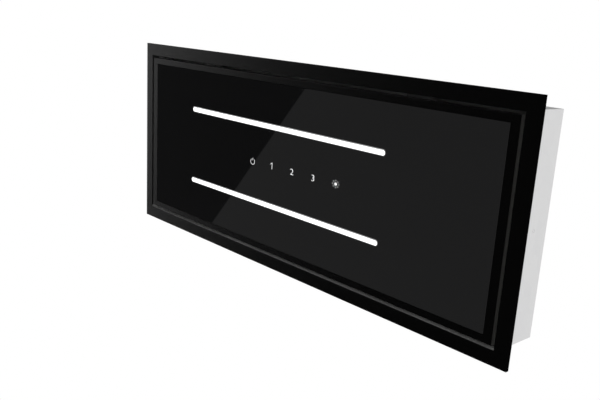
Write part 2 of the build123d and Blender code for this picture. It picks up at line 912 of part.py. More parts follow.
# Panel hinges: leaf on the panel, gooseneck bracket under the deck, and a pin
def make_hinge_leaf(x):
    base_w = 2 * (leaf_half + hinge_leaf_wing)
    top = plate_back_z + hinge_leaf_t
    back = hinge_y - hinge_leaf_back
    base = block(x - base_w / 2, x + base_w / 2, back, back + hinge_leaf_l, plate_back_z, top)
    inner = hinge_eye_w / 2 + hinge_side_gap
    leaf = base
    for side in (-1, 1):
        x0 = x + side * inner
        x1 = x0 + side * hinge_ear_t
        ear = block(x0, x1, hinge_y - hinge_eye_r, hinge_y + hinge_eye_r, plate_back_z, hinge_z)
        leaf = leaf + ear + rod_x(hinge_eye_r, x0, x1, hinge_y, hinge_z)
    leaf = leaf - rod_x(hinge_pin_r + hinge_play, x - base_w, x + base_w, hinge_y, hinge_z)
    leaf = leaf - rod_x(hinge_eye_r + hinge_eye_room, x - inner, x + inner, hinge_y, hinge_z)
    holes = [screw_hole(hx, hy, plate_back_z, top) for hx, hy in hinge_leaf_screws() if hx * x > 0]
    return cut(leaf, holes)


def hinge_foot_screws():
    """Screws of both brackets into the deck."""
    y = hinge_y + hinge_foot_screw_y
    return [(side * hinge_x + dx * hinge_foot_screw_x, y) for side in (-1, 1) for dx in (-1, 1)]


def make_hinge_bracket(x):
    eye = rod_x(hinge_eye_r, x - hinge_eye_w / 2, x + hinge_eye_w / 2, hinge_y, hinge_z)
    arm = block(
        x - hinge_eye_w / 2,
        x + hinge_eye_w / 2,
        hinge_y - hinge_eye_r,
        hinge_y - hinge_eye_r + hinge_arm_t,
        hinge_z,
        deck_z,
    )
    foot_low = deck_z - hinge_foot_t
    foot_end = hinge_y + hinge_foot_reach
    half = hinge_foot_l / 2
    foot = block(x - half, x + half, hinge_y - hinge_eye_r, foot_end, foot_low, deck_z)
    bracket = eye + arm + foot
    bracket = bracket - rod_x(hinge_pin_r + hinge_play, x - half, x + half, hinge_y, hinge_z)
    holes = [screw_hole(hx, hy, foot_low, deck_z) for hx, hy in hinge_foot_screws() if hx * x > 0]
    return cut(bracket, holes)


def make_hinge_pin(x):
    outer = leaf_half + hinge_play
    pin = rod_x(hinge_pin_r, x - outer, x + outer + pin_tail, hinge_y, hinge_z)
    head = rod_x(pin_head_r, x - outer - pin_head_t, x - outer, hinge_y, hinge_z)
    clip = rod_x(pin_head_r, x + outer, x + outer + pin_clip_t, hinge_y, hinge_z)
    return pin + head + clip


# Magnetic catches on the frame's lip and strike plates on the panel
catch_y = -(mouth_d / 2)
strike_top_z = plate_back_z + strike_h


def make_catches():
    low = strike_top_z + catch_gap
    pieces = []
    for side in (-1, 1):
        x = side * catch_x
        body = slab(catch_len, catch_depth, low, low + catch_h, x, catch_y + catch_depth / 2)
        slot_len = catch_len - 2 * catch_slot_end
        slot_y = catch_y + catch_depth / 2
        slot = slab(slot_len, catch_slot_w, low - 1, low + catch_slot_depth, x, slot_y)
        pieces.append(body - slot)
    return pieces


def make_strikes():
    """Steel blocks welded to the back plate under the magnets."""
    depth = catch_depth - 2 * panel_sheet
    y = -(panel_d / 2 - panel_sheet - seat_gap - catch_depth / 2)
    return [slab(strike_len, depth, plate_back_z, strike_top_z, side * catch_x, y) for side in (-1, 1)]


# Blower box and lid
box_base_z = roof_z
box_top_z = roof_z + box_h
collar_z = roof_z + box_h / 2
box_wall_x = -box_w / 2


def make_blower_box():
    wall = ring(box_w, box_d, box_sheet, box_base_z, box_top_z)
    foot_top = box_base_z + box_sheet
    foot = slab(box_w + 2 * box_foot, box_d + 2 * box_foot, box_base_z, foot_top)
    foot = foot - slab(box_w - 2 * box_sheet, box_d - 2 * box_sheet, box_base_z - 1, foot_top + 1)
    reach = box_w / 2 + side_reach
    duct_hole = rod_x(duct_r - collar_wall, -reach, box_wall_x + side_reach, collar_y, collar_z)
    conduit_hole = rod_x(conduit_r + screw_clear, box_w / 2 - side_reach, reach, control_y, conduit_z)
    holes = [screw_hole(x, y, box_base_z, foot_top) for x, y in box_screws()]
    return cut(wall + foot, [duct_hole, conduit_hole] + holes + collar_holes() + lid_holes())


def lid_screw_places():
    """Screws through the lid's skirt, as side and place along it."""
    return [(side, sx * lid_screw_x) for side in (-1, 1) for sx in (-1, 1)]


def lid_holes():
    """Holes for the lid's screws in the box's long sides."""
    z = box_top_z - lid_skirt / 2
    near = box_d / 2 - side_reach
    far = box_d / 2 + side_reach
    return [
        rod_y(screw_r + screw_clear, side * near, side * far, x, z)
        for side, x in lid_screw_places()
    ]


def make_blower_lid():
    skirt_w = box_w + 2 * (box_sheet + seat_gap)
    skirt_d = box_d + 2 * (box_sheet + seat_gap)
    top = slab(skirt_w, skirt_d, box_top_z, box_top_z + box_sheet)
    skirt = ring(skirt_w, skirt_d, box_sheet, box_top_z - lid_skirt, box_top_z + box_sheet)
    notch_half = collar_plate / 2 + lid_notch_play
    collar_notch = block(
        box_wall_x - side_reach,
        box_wall_x,
        collar_y - notch_half,
        collar_y + notch_half,
        box_top_z - lid_skirt - 1,
        box_top_z,
    )
    rib_z = box_top_z + box_sheet
    rib = slab(lid_rib_len, lid_rib_w, rib_z, rib_z + lid_rib_h)
    lid = top + skirt - collar_notch
    for n in (-1, 0, 1):
        lid = lid + Pos(0, n * lid_rib_pitch, 0) * rib
    return cut(lid, lid_holes())


def make_lid_screws():
    z = box_top_z - lid_skirt / 2
    seat = box_d / 2 + box_sheet + seat_gap
    pieces = []
    for side, x in lid_screw_places():
        head = rod_y(screw_head_r, side * seat, side * (seat + screw_head_h), x, z)
        pieces.append(head + rod_y(screw_r, side * (seat - lid_screw_len), side * seat, x, z))
    return pieces


# Blower scroll: four arcs about the corners of a small square, and a flared outlet
scroll_z = roof_z
scroll_top_z = scroll_z + scroll_h
outlet_x = box_wall_x + box_sheet + seat_gap
outlet_low_y = collar_y - duct_r
quarter_turn = 90


def volute_arcs():
    """Centre, radius and end angles of each arc, anticlockwise from the tongue."""
    half = volute_step / 2
    centres = [(-half, -half), (half, -half), (half, half), (-half, half)]
    arcs = []
    for n, (cx, cy) in enumerate(centres):
        end = 180 + quarter_turn * n
        start = tongue_angle if n == 0 else end - quarter_turn
        arcs.append((blower_x + cx, cy, volute_r + n * volute_step, start, end))
    return arcs


def volute_face():
    """Inside of the scroll as a flat face."""
    edges = []
    for cx, cy, radius, start, end in volute_arcs():
        edges.append(CenterArc((cx, cy), radius, start, end - start))
    tongue = edges[0] @ 0
    crown = edges[-1] @ 1
    corner = Vector(outlet_x, crown.Y)
    low = Vector(outlet_x, outlet_low_y)
    edges += [Line(crown, corner), Line(corner, low), Line(low, tongue)]
    return make_face(edges)


def make_scroll():
    inside = volute_face()
    outside = offset(inside, scroll_wall, kind=Kind.INTERSECTION)
    outer = Pos(0, 0, scroll_z) * extrude(outside, scroll_h - scroll_wall)
    cavity = Pos(0, 0, scroll_z + scroll_wall) * extrude(inside, scroll_h)
    beyond = block(-box_w, outlet_x, -box_d, box_d, scroll_z - 1, scroll_top_z + 1)
    eye = post(inlet_hole_r, scroll_z - 1, scroll_z + scroll_wall + 1, blower_x)
    holes = [screw_hole(x, y, scroll_z, scroll_z + scroll_wall) for x, y in throat_screws()]
    return cut(outer - cavity, [beyond, eye] + holes)


def make_scroll_cover():
    outside = offset(volute_face(), scroll_wall, kind=Kind.INTERSECTION)
    cover = Pos(0, 0, scroll_top_z - scroll_wall) * extrude(outside, scroll_wall)
    beyond = block(-box_w, outlet_x, -box_d, box_d, scroll_z - 1, scroll_top_z + 1)
    wire_hole = post(wire_hole_r, scroll_z, scroll_top_z + 1, blower_x)
    holes = [screw_hole(x, y, scroll_top_z - scroll_wall, scroll_top_z) for x, y in bracket_screws()]
    return cut(cover, [beyond, wire_hole] + holes)


# Inlet ring: bell mouth under the roof that leads air into the impeller
def make_inlet_ring():
    flange_low = roof_under_z - throat_t
    top = roof_z + throat_rise
    profile = [
        (throat_flange_r, flange_low),
        (throat_flange_r, roof_under_z),
        (throat_mouth_r - throat_t, roof_under_z),
        (throat_r + throat_t, roof_under_z + (throat_mouth_r - throat_r)),
        (throat_r + throat_t, top),
        (throat_r, top),
        (throat_r, roof_under_z + (throat_mouth_r - throat_r) - throat_t),
        (throat_mouth_r - 2 * throat_t, flange_low),
    ]
    section = Plane.XZ * make_face(Polyline(*profile, close=True))
    bell = Pos(blower_x, 0, 0) * revolve(section, Axis.Z)
    return cut(bell, [screw_hole(x, y, flange_low, roof_under_z) for x, y in throat_screws()])


# Impeller with forward curved blades
impeller_z = scroll_z + impeller_gap
impeller_top_z = impeller_z + impeller_h


def make_impeller():
    disc_z = impeller_top_z - impeller_disc_t
    disc = post(impeller_r, disc_z, impeller_top_z, blower_x)
    end_ring = post(impeller_r, impeller_z, impeller_z + impeller_ring_h, blower_x)
    ring_top = impeller_z + impeller_ring_h
    end_ring = end_ring - post(impeller_r - blade_depth, impeller_z - 1, ring_top + 1, blower_x)
    hub = post(hub_r, impeller_top_z - hub_h, impeller_top_z, blower_x)
    blade_mid = impeller_r - blade_depth / 2 - blade_set_in
    blade_len = (blade_depth - blade_ends) / math.cos(math.radians(blade_tilt))
    blade = slab(blade_len, blade_t, impeller_z + 1, disc_z + 1)
    blades = []
    for n in range(blade_count):
        turn = 360.0 * n / blade_count
        place = Pos(blower_x, 0, 0) * Rot(0, 0, turn) * Pos(blade_mid, 0, 0)
        blades.append(place * Rot(0, 0, blade_tilt) * blade)
    wheel = disc + end_ring + hub + blades
    vents = []
    for n in range(hub_vents):
        turn = math.radians(360.0 * n / hub_vents)
        vent_x = blower_x + hub_vent_pitch_r * math.cos(turn)
        vent_y = hub_vent_pitch_r * math.sin(turn)
        vents.append(post(hub_vent_r, disc_z - 1, impeller_top_z + 1, vent_x, vent_y))
    bore = post(shaft_r + shaft_play, impeller_z, impeller_top_z + 1, blower_x)
    return cut(wheel, vents + [bore])


# Motor hung inside the scroll on a three-armed bracket, its shaft and the impeller's nut
hub_low_z = impeller_top_z - hub_h
motor_top_z = scroll_top_z - scroll_wall - bracket_t
motor_low_z = motor_top_z - motor_h


def make_impeller_nut():
    shape = extrude(RegularPolygon(nut_across / 2, 6, major_radius=False), nut_h)
    nut = Pos(blower_x, 0, hub_low_z - nut_h) * shape
    return nut - post(shaft_r + shaft_play, hub_low_z - nut_h - 1, hub_low_z + 1, blower_x)


def make_motor_shaft():
    shaft = post(shaft_r, hub_low_z - nut_h - shaft_end, motor_low_z + shaft_seat, blower_x)
    shoulder_z = motor_low_z - motor_cap_h - shoulder_gap
    shoulder = post(shaft_r + shaft_shoulder, impeller_top_z, shoulder_z, blower_x)
    return shaft + shoulder


def bracket_screws():
    """Screws at the ends of the motor bracket's arms."""
    reach = bracket_reach - bracket_screw_in
    return [
        (blower_x + reach * math.cos(math.radians(a)), reach * math.sin(math.radians(a)))
        for a in bracket_turns
    ]


def make_motor():
    body = post(motor_r, motor_low_z, motor_top_z, blower_x)
    body = fillet(body.edges().group_by(Axis.Z)[0], motor_round)
    cap = post(motor_cap_r, motor_low_z - motor_cap_h, motor_low_z, blower_x)
    plug_low = motor_low_z + motor_plug_rise
    plug = block(
        blower_x + motor_r - motor_plug_sink,
        blower_x + motor_r + motor_plug,
        -motor_plug,
        motor_plug,
        plug_low,
        plug_low + motor_plug_h,
    )
    bore_z = motor_low_z - motor_cap_h - 1
    bore = post(shaft_r + shaft_play, bore_z, motor_low_z + shaft_seat + 1, blower_x)
    return body + cap + plug - bore


def make_motor_bracket():
    low = motor_top_z
    high = motor_top_z + bracket_t
    hub = post(motor_r + bracket_ring / 2, low, high, blower_x)
    arm = block(0, bracket_reach, -bracket_arm_w / 2, bracket_arm_w / 2, low, high)
    for turn in bracket_turns:
        hub = hub + Pos(blower_x, 0, 0) * Rot(0, 0, turn) * arm
    hub = hub - post(wire_hole_r, low - 1, high + 1, blower_x)
    return cut(hub, [screw_hole(x, y, low, high) for x, y in bracket_screws()])


def make_blower_screws():
    """Screws of the lid, the duct collar and the motor bracket."""
    pieces = make_lid_screws() + make_collar_screws()
    grip = scroll_wall + bracket_t
    pieces += [screw_up(x, y, scroll_top_z, grip) for x, y in bracket_screws()]
    return pieces


# Duct collar, rod and two half-round flaps
collar_face_x = box_wall_x - collar_plate_t
collar_end_x = collar_face_x - collar_len
rod_place_x = collar_face_x - rod_set_back
duct_inner_r = duct_r - collar_wall
rod_half = duct_r - rod_end_in


def collar_screw_places():
    """Corners of the collar's plate."""
    reach = collar_plate / 2 - collar_screw_in
    return [(collar_y + sy * reach, collar_z + sz * reach) for sy in (-1, 1) for sz in (-1, 1)]


def collar_holes():
    """Holes through the plate and the box wall for the collar's screws."""
    return [
        rod_x(screw_r + screw_clear, box_wall_x - side_reach, box_wall_x + side_reach, y, z)
        for y, z in collar_screw_places()
    ]


def make_collar():
    plate = block(
        collar_face_x,
        box_wall_x,
        collar_y - collar_plate / 2,
        collar_y + collar_plate / 2,
        collar_z - collar_plate / 2,
        collar_z + collar_plate / 2,
    )
    plate = fillet(plate.edges().filter_by(Axis.X), collar_corner_r)
    spigot = rod_x(duct_r, collar_end_x, box_wall_x, collar_y, collar_z)
    bore = rod_x(duct_inner_r, collar_end_x - 1, box_wall_x + 1, collar_y, collar_z)
    stop_x = rod_place_x + flap_t / 2 + flap_play
    stop = rod_x(duct_inner_r + collar_wall / 2, stop_x, stop_x + flap_stop_t, collar_y, collar_z)
    stop_end = stop_x + flap_stop_t + 1
    stop = stop - rod_x(duct_inner_r - flap_stop_w, stop_x - 1, stop_end, collar_y, collar_z)
    collar = plate + spigot - bore + stop
    rod_hole = post(rod_r + rod_play, collar_z - rod_half, collar_z + rod_half, rod_place_x, collar_y)
    return cut(collar, [rod_hole] + collar_holes())


def make_collar_screws():
    pieces = []
    for y, z in collar_screw_places():
        head = rod_x(screw_head_r, collar_face_x - screw_head_h, collar_face_x, y, z)
        pieces.append(head + rod_x(screw_r, collar_face_x, box_wall_x + box_sheet, y, z))
    return pieces


def make_rod():
    half = rod_half - seat_gap
    return post(rod_r, collar_z - half, collar_z + half, rod_place_x, collar_y)


def make_flap(side):
    """Half disc on alternate knuckles; side is +1 for the +Y half and -1 for the other."""
    radius = duct_inner_r - flap_play
    disc = rod_x(radius, rod_place_x - flap_t / 2, rod_place_x + flap_t / 2, collar_y, collar_z)
    half = block(
        rod_place_x - side_reach,
        rod_place_x + side_reach,
        collar_y + side * flap_split,
        collar_y + side * (radius + side_reach),
        collar_z - radius,
        collar_z + radius,
    )
    flap = disc & half
    first = collar_z - radius + flap_end
    last = collar_z + radius - flap_end
    tall = (last - first) / flap_knuckles
    room_r = flap_knuckle_r + flap_play
    for n in range(flap_knuckles):
        low = first + n * tall
        high = low + tall
        mine = (n % 2 == 0) == (side > 0)
        if mine:
            trim = flap_play / 2
            flap = flap + post(flap_knuckle_r, low + trim, high - trim, rod_place_x, collar_y)
        else:
            flap = flap - post(room_r, low - flap_play, high + flap_play, rod_place_x, collar_y)
    low_end = post(room_r, first - 2 * flap_end, first, rod_place_x, collar_y)
    high_end = post(room_r, last, last + 2 * flap_end, rod_place_x, collar_y)
    bore = post(rod_r + rod_play, first - 2 * flap_end, last + 2 * flap_end, rod_place_x, collar_y)
    return cut(flap, [low_end, high_end, bore])


# Control box, its circuit, gland and conduit, and the lamp driver
control_top_z = roof_z + control_h
conduit_z = roof_z + control_h / 2
control_left_x = control_x - control_w / 2
gland_y = control_y + control_d / 2
post_in = control_wall + control_post_r - control_post_set
post_reach_x = control_w / 2 - post_in
post_reach_y = control_d / 2 - post_in


def control_posts():
    """Lid posts in the corners of the control box."""
    corners = [(sx, sy) for sx in (-1, 1) for sy in (-1, 1)]
    return [(control_x + sx * post_reach_x, control_y + sy * post_reach_y) for sx, sy in corners]


def control_screws():
    """Screws that hold the control box down from inside."""
    return [(control_x + side * control_screw_x, control_y) for side in (-1, 1)]


def make_control_box():
    box = slab(control_w, control_d, roof_z, control_top_z, control_x, control_y)
    box = fillet(box.edges().filter_by(Axis.Z), control_corner_r)
    inside = slab(
        control_w - 2 * control_wall,
        control_d - 2 * control_wall,
        roof_z + control_wall,
        control_top_z + 1,
        control_x,
        control_y,
    )
    box = box - inside
    for x, y in control_posts():
        box = box + post(control_post_r, roof_z, control_top_z, x, y)
        box = box - screw_hole(x, y, control_top_z - control_post_bore, control_top_z)
    hole_r = conduit_r + screw_clear
    near_wall = control_left_x - side_reach
    conduit_hole = rod_x(hole_r, near_wall, near_wall + 2 * side_reach, control_y, conduit_z)
    hole_r = gland_thread_r + screw_clear
    gland_hole = rod_y(hole_r, gland_y - side_reach, gland_y + 1, control_x, conduit_z)
    harness_hole = post(harness_r, roof_z - 1, roof_z + control_wall + 1, control_x, control_y)
    holes = [screw_hole(x, y, roof_z, roof_z + control_wall) for x, y in control_screws()]
    return cut(box, [conduit_hole, gland_hole, harness_hole] + holes)


def make_control_lid():
    lid = slab(control_w, control_d, control_top_z, control_top_z + control_wall, control_x, control_y)
    lid = fillet(lid.edges().filter_by(Axis.Z), control_corner_r)
    high = control_top_z + control_wall
    return cut(lid, [screw_hole(x, y, control_top_z, high) for x, y in control_posts()])


def make_control_lid_screws():
    seat = control_top_z + control_wall
    return [screw_up(x, y, seat, control_wall) for x, y in control_posts()]


def make_power_board():
    low = roof_z + circuit_rise
    width = control_w - 2 * (control_wall + circuit_edge) - 4 * control_post_r
    depth = control_d - 2 * (control_wall + circuit_edge)
    top = low + circuit_t
    pieces = [slab(width, depth, low, top, control_x, control_y)]
    for dx, dy, long, wide, high in (coil, terminals) + relays:
        pieces.append(slab(long, wide, top, top + high, control_x + dx, control_y + dy))
    dx, dy, radius, high = capacitor
    pieces.append(post(radius, top, top + high, control_x + dx, control_y + dy))
    leg_x = width / 2 - 2 * circuit_leg_r
    leg_y = depth / 2 - 2 * circuit_leg_r
    for sx in (-1, 1):
        for sy in (-1, 1):
            foot_z = roof_z + control_wall
            pieces.append(post(circuit_leg_r, foot_z, low, control_x + sx * leg_x, control_y + sy * leg_y))
    return fuse(pieces)


def make_gland():
    inner_end = gland_y - control_wall - gland_lock_l - gland_thread_end
    outer_end = gland_y + gland_len
    hex_y = gland_y + gland_collar_l
    thread = rod_y(gland_thread_r, inner_end, gland_y + 1, control_x, conduit_z)
    collar = rod_y(gland_r, gland_y, hex_y, control_x, conduit_z)
    hexagon = extrude(RegularPolygon(gland_r, 6), gland_hex_l)
    hexagon = Pos(control_x, hex_y, conduit_z) * Rot(-90, 0, 0) * hexagon
    cap = rod_y(gland_cap_r, hex_y + gland_hex_l, outer_end, control_x, conduit_z)
    cap = fillet(cap.edges().group_by(Axis.Y)[-1], gland_cap_round)
    lock_end = gland_y - control_wall - gland_lock_gap
    lock = rod_y(gland_r, lock_end - gland_lock_l, lock_end, control_x, conduit_z)
    body = thread + collar + hexagon + cap + lock
    return body - rod_y(cable_hole_r, inner_end - 1, outer_end + 1, control_x, conduit_z)


def make_conduit():
    start = box_w / 2 - box_sheet - conduit_end
    end = control_left_x + control_wall + conduit_end
    tube = rod_x(conduit_r, start, end, control_y, conduit_z)
    nut_a = rod_x(conduit_nut_r, box_w / 2, box_w / 2 + conduit_nut_t, control_y, conduit_z)
    nut_b = rod_x(conduit_nut_r, control_left_x - conduit_nut_t, control_left_x, control_y, conduit_z)
    bore = rod_x(conduit_r - conduit_wall, start - 1, end + 1, control_y, conduit_z)
    return tube + nut_a + nut_b - bore


def make_driver():
    body = slab(driver_w, driver_d, roof_z, roof_z + driver_h, driver_x, driver_y)
    body = chamfer(body.edges().group_by(Axis.Z)[-1], driver_edge)
    span = driver_w + 2 * driver_ear
    ears = slab(span, driver_ear_d, roof_z, roof_z + driver_ear_t, driver_x, driver_y)
    return cut(body + ears, [screw_hole(x, y, roof_z, roof_z + driver_ear_t) for x, y in driver_screws()])


# Hangers: Z brackets whose heads take threaded rods from the structure above
def make_hanger(side_x, side_y):
    near_y = side_y * hanger_y - hanger_w / 2
    far_y = side_y * hanger_y + hanger_w / 2
    foot_x = side_x * (hanger_web_x - hanger_foot)
    web_x = side_x * hanger_web_x
    web_back_x = side_x * (hanger_web_x - hanger_t)
    head_x = side_x * (hanger_x + hanger_foot / 2)
    high = roof_z + hanger_rise
    foot = block(foot_x, web_x, near_y, far_y, roof_z, roof_z + hanger_t)
    web = block(web_back_x, web_x, near_y, far_y, roof_z, high)
    head = block(web_back_x, head_x, near_y, far_y, high - hanger_t, high)
    rod_hole = post(hanger_hole_r, high - 2 * hanger_t, high + 1, side_x * hanger_x, side_y * hanger_y)
    places = [(x, y) for x, y in hanger_screws() if x * side_x > 0 and y * side_y > 0]
    holes = [screw_hole(x, y, roof_z, roof_z + hanger_t) for x, y in places]
    return cut(foot + web + head, [rod_hole] + holes)


def make_housing_screws():
    """Screws through the roof: hem, box feet, hangers, driver, control box and inlet ring."""
    sheet = housing_sheet
    pieces = [screw_up(x, y, roof_z, 2 * sheet) for x, y in hem_screw_places()]
    pieces += [screw_up(x, y, roof_z + box_sheet, box_sheet + sheet) for x, y in box_screws()]
    pieces += [screw_up(x, y, roof_z + hanger_t, hanger_t + sheet) for x, y in hanger_screws()]
    pieces += [screw_up(x, y, roof_z + driver_ear_t, driver_ear_t + sheet) for x, y in driver_screws()]
    pieces += [screw_up(x, y, roof_z + control_wall, control_wall + sheet) for x, y in control_screws()]
    grip = throat_t + sheet + scroll_wall
    pieces += [screw_down(x, y, roof_under_z - throat_t, grip, 0.0) for x, y in throat_screws()]
    return pieces


def make_deck_screws():
    """Screws of the filter rails and the hinge brackets."""
    pieces = [screw_up(x, y, deck_z + deck_t, deck_t + rail_t) for x, y in rail_screws()]
    grip = hinge_foot_t + deck_t
    pieces += [screw_down(x, y, deck_z - hinge_foot_t, grip) for x, y in hinge_foot_screws()]
    return pieces


def make_panel_screws():
    """Short screws on the back of the panel, that end within the back plate."""
    end = plate_t - seat_gap
    leaf_seat = plate_back_z + hinge_leaf_t
    pieces = [screw_up(x, y, leaf_seat, hinge_leaf_t, end) for x, y in hinge_leaf_screws()]
    channel_seat = plate_back_z + channel_wall
    pieces += [screw_up(x, y, channel_seat, channel_wall, end) for x, y in channel_screws()]
    pieces += [screw_up(x, y, plate_back_z + touch_ear_t, touch_ear_t, end) for x, y in touch_screws()]
    return pieces


# Write every node
save("trim_frame", make_trim_frame())
save("frame_rivets", Compound(children=make_frame_rivets()))
save("housing_walls", make_housing_walls())
save("housing_top", make_housing_top())
save("filter_deck", make_filter_deck())
save("deck_edges", Compound(children=make_deck_edges()))
save("deck_rivets", Compound(children=make_deck_rivets()))
save("filter_rail_far", make_rail_far())
save("filter_rail_near", make_rail_near())
save("deck_screws", Compound(children=make_deck_screws()))
for name, side in (("left", -1), ("right", 1)):
    save(f"filter_frame_{name}", make_filter_frame(side * filter_x))
    save(f"filter_mesh_{name}", make_filter_mesh(side * filter_x))
    save(f"filter_latch_{name}", make_filter_latch(side * filter_x))
    save(f"hinge_bracket_{name}", make_hinge_bracket(side * hinge_x))
    save(f"hinge_leaf_{name}", make_hinge_leaf(side * hinge_x))
    save(f"hinge_pin_{name}", make_hinge_pin(side * hinge_x))
save("magnetic_catches", Compound(children=make_catches()))
save("catch_strikes", Compound(children=make_strikes()))
save("panel_rim", make_panel_rim())
save("panel_plate", make_panel_plate())
save("glass_pane", make_glass())
save("panel_screws", Compound(children=make_panel_screws()))
for name, side in (("near", -1), ("far", 1)):
    save(f"lamp_lens_{name}", make_lens(side * lamp_offset_y))
    save(f"lamp_channel_{name}", make_channel(side * lamp_offset_y))
    save(f"lamp_board_{name}", make_board(side * lamp_offset_y))
save("touch_board", make_touch_board())
save("touch_cover", make_touch_cover())
save("blower_box", make_blower_box())
save("blower_lid", make_blower_lid())
save("blower_scroll", make_scroll())
save("scroll_cover", make_scroll_cover())
save("inlet_ring", make_inlet_ring())
save("impeller", make_impeller())
save("impeller_nut", make_impeller_nut())
save("motor_shaft", make_motor_shaft())
save("motor", make_motor())
save("motor_bracket", make_motor_bracket())
save("duct_collar", make_collar())
save("blower_screws", Compound(children=make_blower_screws()))
save("flap_rod", make_rod())
save("flap_far", make_flap(1))
save("flap_near", make_flap(-1))
save("control_box", make_control_box())
save("control_lid", make_control_lid())
save("control_lid_screws", Compound(children=make_control_lid_screws()))
save("power_board", make_power_board())
save("mains_gland", make_gland())
save("motor_conduit", make_conduit())
save("lamp_driver", make_driver())
save("hangers", Compound(children=[make_hanger(*place) for place in hanger_places()]))
save("housing_screws", Compound(children=make_housing_screws()))
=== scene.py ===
import math
import bpy
from mathutils import Euler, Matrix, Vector


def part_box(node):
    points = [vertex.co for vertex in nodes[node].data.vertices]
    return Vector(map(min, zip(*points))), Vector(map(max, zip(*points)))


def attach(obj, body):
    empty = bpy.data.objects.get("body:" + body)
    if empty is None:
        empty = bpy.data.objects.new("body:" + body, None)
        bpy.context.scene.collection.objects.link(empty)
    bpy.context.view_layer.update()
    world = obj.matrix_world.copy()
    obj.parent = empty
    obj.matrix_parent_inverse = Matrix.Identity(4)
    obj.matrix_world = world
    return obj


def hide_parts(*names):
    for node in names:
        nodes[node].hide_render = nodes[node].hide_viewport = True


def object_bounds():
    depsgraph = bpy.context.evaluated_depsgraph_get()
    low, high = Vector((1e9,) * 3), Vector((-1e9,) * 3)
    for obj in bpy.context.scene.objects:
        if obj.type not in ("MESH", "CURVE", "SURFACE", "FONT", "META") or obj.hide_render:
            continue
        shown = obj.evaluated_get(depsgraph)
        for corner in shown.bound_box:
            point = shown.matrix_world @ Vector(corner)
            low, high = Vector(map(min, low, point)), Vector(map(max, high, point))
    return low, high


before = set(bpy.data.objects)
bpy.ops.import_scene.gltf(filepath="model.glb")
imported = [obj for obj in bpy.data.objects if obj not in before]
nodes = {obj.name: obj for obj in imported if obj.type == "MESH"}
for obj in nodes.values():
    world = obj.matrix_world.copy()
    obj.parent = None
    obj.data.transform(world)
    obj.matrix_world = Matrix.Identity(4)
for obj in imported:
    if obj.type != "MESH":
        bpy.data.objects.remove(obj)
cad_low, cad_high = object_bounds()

bpy.ops.object.select_all(action="DESELECT")
bpy.context.scene.view_settings.view_transform = "Standard"


# Camera: stands below the hood, off its right end, and looks up at the face.
# The lens and the shift are those of a camera fitted to the photo's straight edges.
camera_place = (0.8933, -0.2269, -0.7554)
camera_turn = (169.646, -44.906, -6.332)
camera_data = bpy.data.cameras.new("photo_camera")
camera_data.lens = 43.5
camera_data.sensor_width = 36.0
camera_data.shift_x = -0.0993
camera_data.shift_y = 0.0414
camera = bpy.data.objects.new("photo_camera", camera_data)
camera.location = camera_place
camera.rotation_euler = Euler([math.radians(angle) for angle in camera_turn], "XYZ")
bpy.context.scene.collection.objects.link(camera)
bpy.context.scene.camera = camera


# Studio: white surround, a pale floor under the hood, two large soft lamps, and cards that
# only glossy faces see, because black glass shows whatever stands in front of it. The cards at
# the height of the ceiling keep the bright card under it from showing in the housing's walls.
class Wire:
    """A node's output, on which sums are written as on a number."""

    def __init__(self, finish, socket):
        self.finish = finish
        self.socket = socket

    def combine(self, operation, first, second):
        return self.finish.add("ShaderNodeMath", {"operation": operation}, {0: first, 1: second})

    def __add__(self, other):
        return self.combine("ADD", self, other)

    def __radd__(self, other):
        return self.combine("ADD", other, self)

    def __sub__(self, other):
        return self.combine("SUBTRACT", self, other)

    def __rsub__(self, other):
        return self.combine("SUBTRACT", other, self)

    def __mul__(self, other):
        return self.combine("MULTIPLY", self, other)

    def __rmul__(self, other):
        return self.combine("MULTIPLY", other, self)


class Finish:
    """A material, or the world, built from its own nodes."""

    def __init__(self, name, owner=None):
        self.owner = owner or bpy.data.materials.new(name)
        self.owner.use_nodes = True
        self.tree = self.owner.node_tree
        self.tree.nodes.clear()

    def add(self, kind, settings=None, sockets=None, out=0):
        """Adds a node of that kind, its settings first, then its sockets; gives one output."""
        node = self.tree.nodes.new(kind)
        for name, value in (settings or {}).items():
            setattr(node, name, value)
        for name, value in (sockets or {}).items():
            if isinstance(value, Wire):
                self.tree.links.new(value.socket, node.inputs[name])
            else:
                node.inputs[name].default_value = value
        return Wire(self, node.outputs[out])

    def coordinate(self, place, axis):
        """The X, Y or Z of a place."""
        return self.add("ShaderNodeSeparateXYZ", None, {"Vector": place}, axis)

    def share(self, value, start, end, settings=None):
        """How far a value has come from start to end, as a share from 0 to 1."""
        return self.add("ShaderNodeMapRange", settings, {
            "Value": value, "From Min": start, "From Max": end,
        })

    def between(self, share, low, high):
        """Colour from low to high by a share; a Mix node's colours are its sockets 6 and 7."""
        return self.add("ShaderNodeMix", {"data_type": "RGBA"}, {0: share, 6: low, 7: high}, 2)

    def show(self, shader, kind="ShaderNodeOutputMaterial"):
        """Joins the finished shader to the output."""
        target = self.tree.nodes.new(kind)
        self.tree.links.new(shader.socket, target.inputs["Surface"])
        return self.owner


def grey(tone):
    """Grey of one tone, from 0 for black to 1 for white, or above 1 for a bright light."""
    return (tone, tone, tone, 1.0)


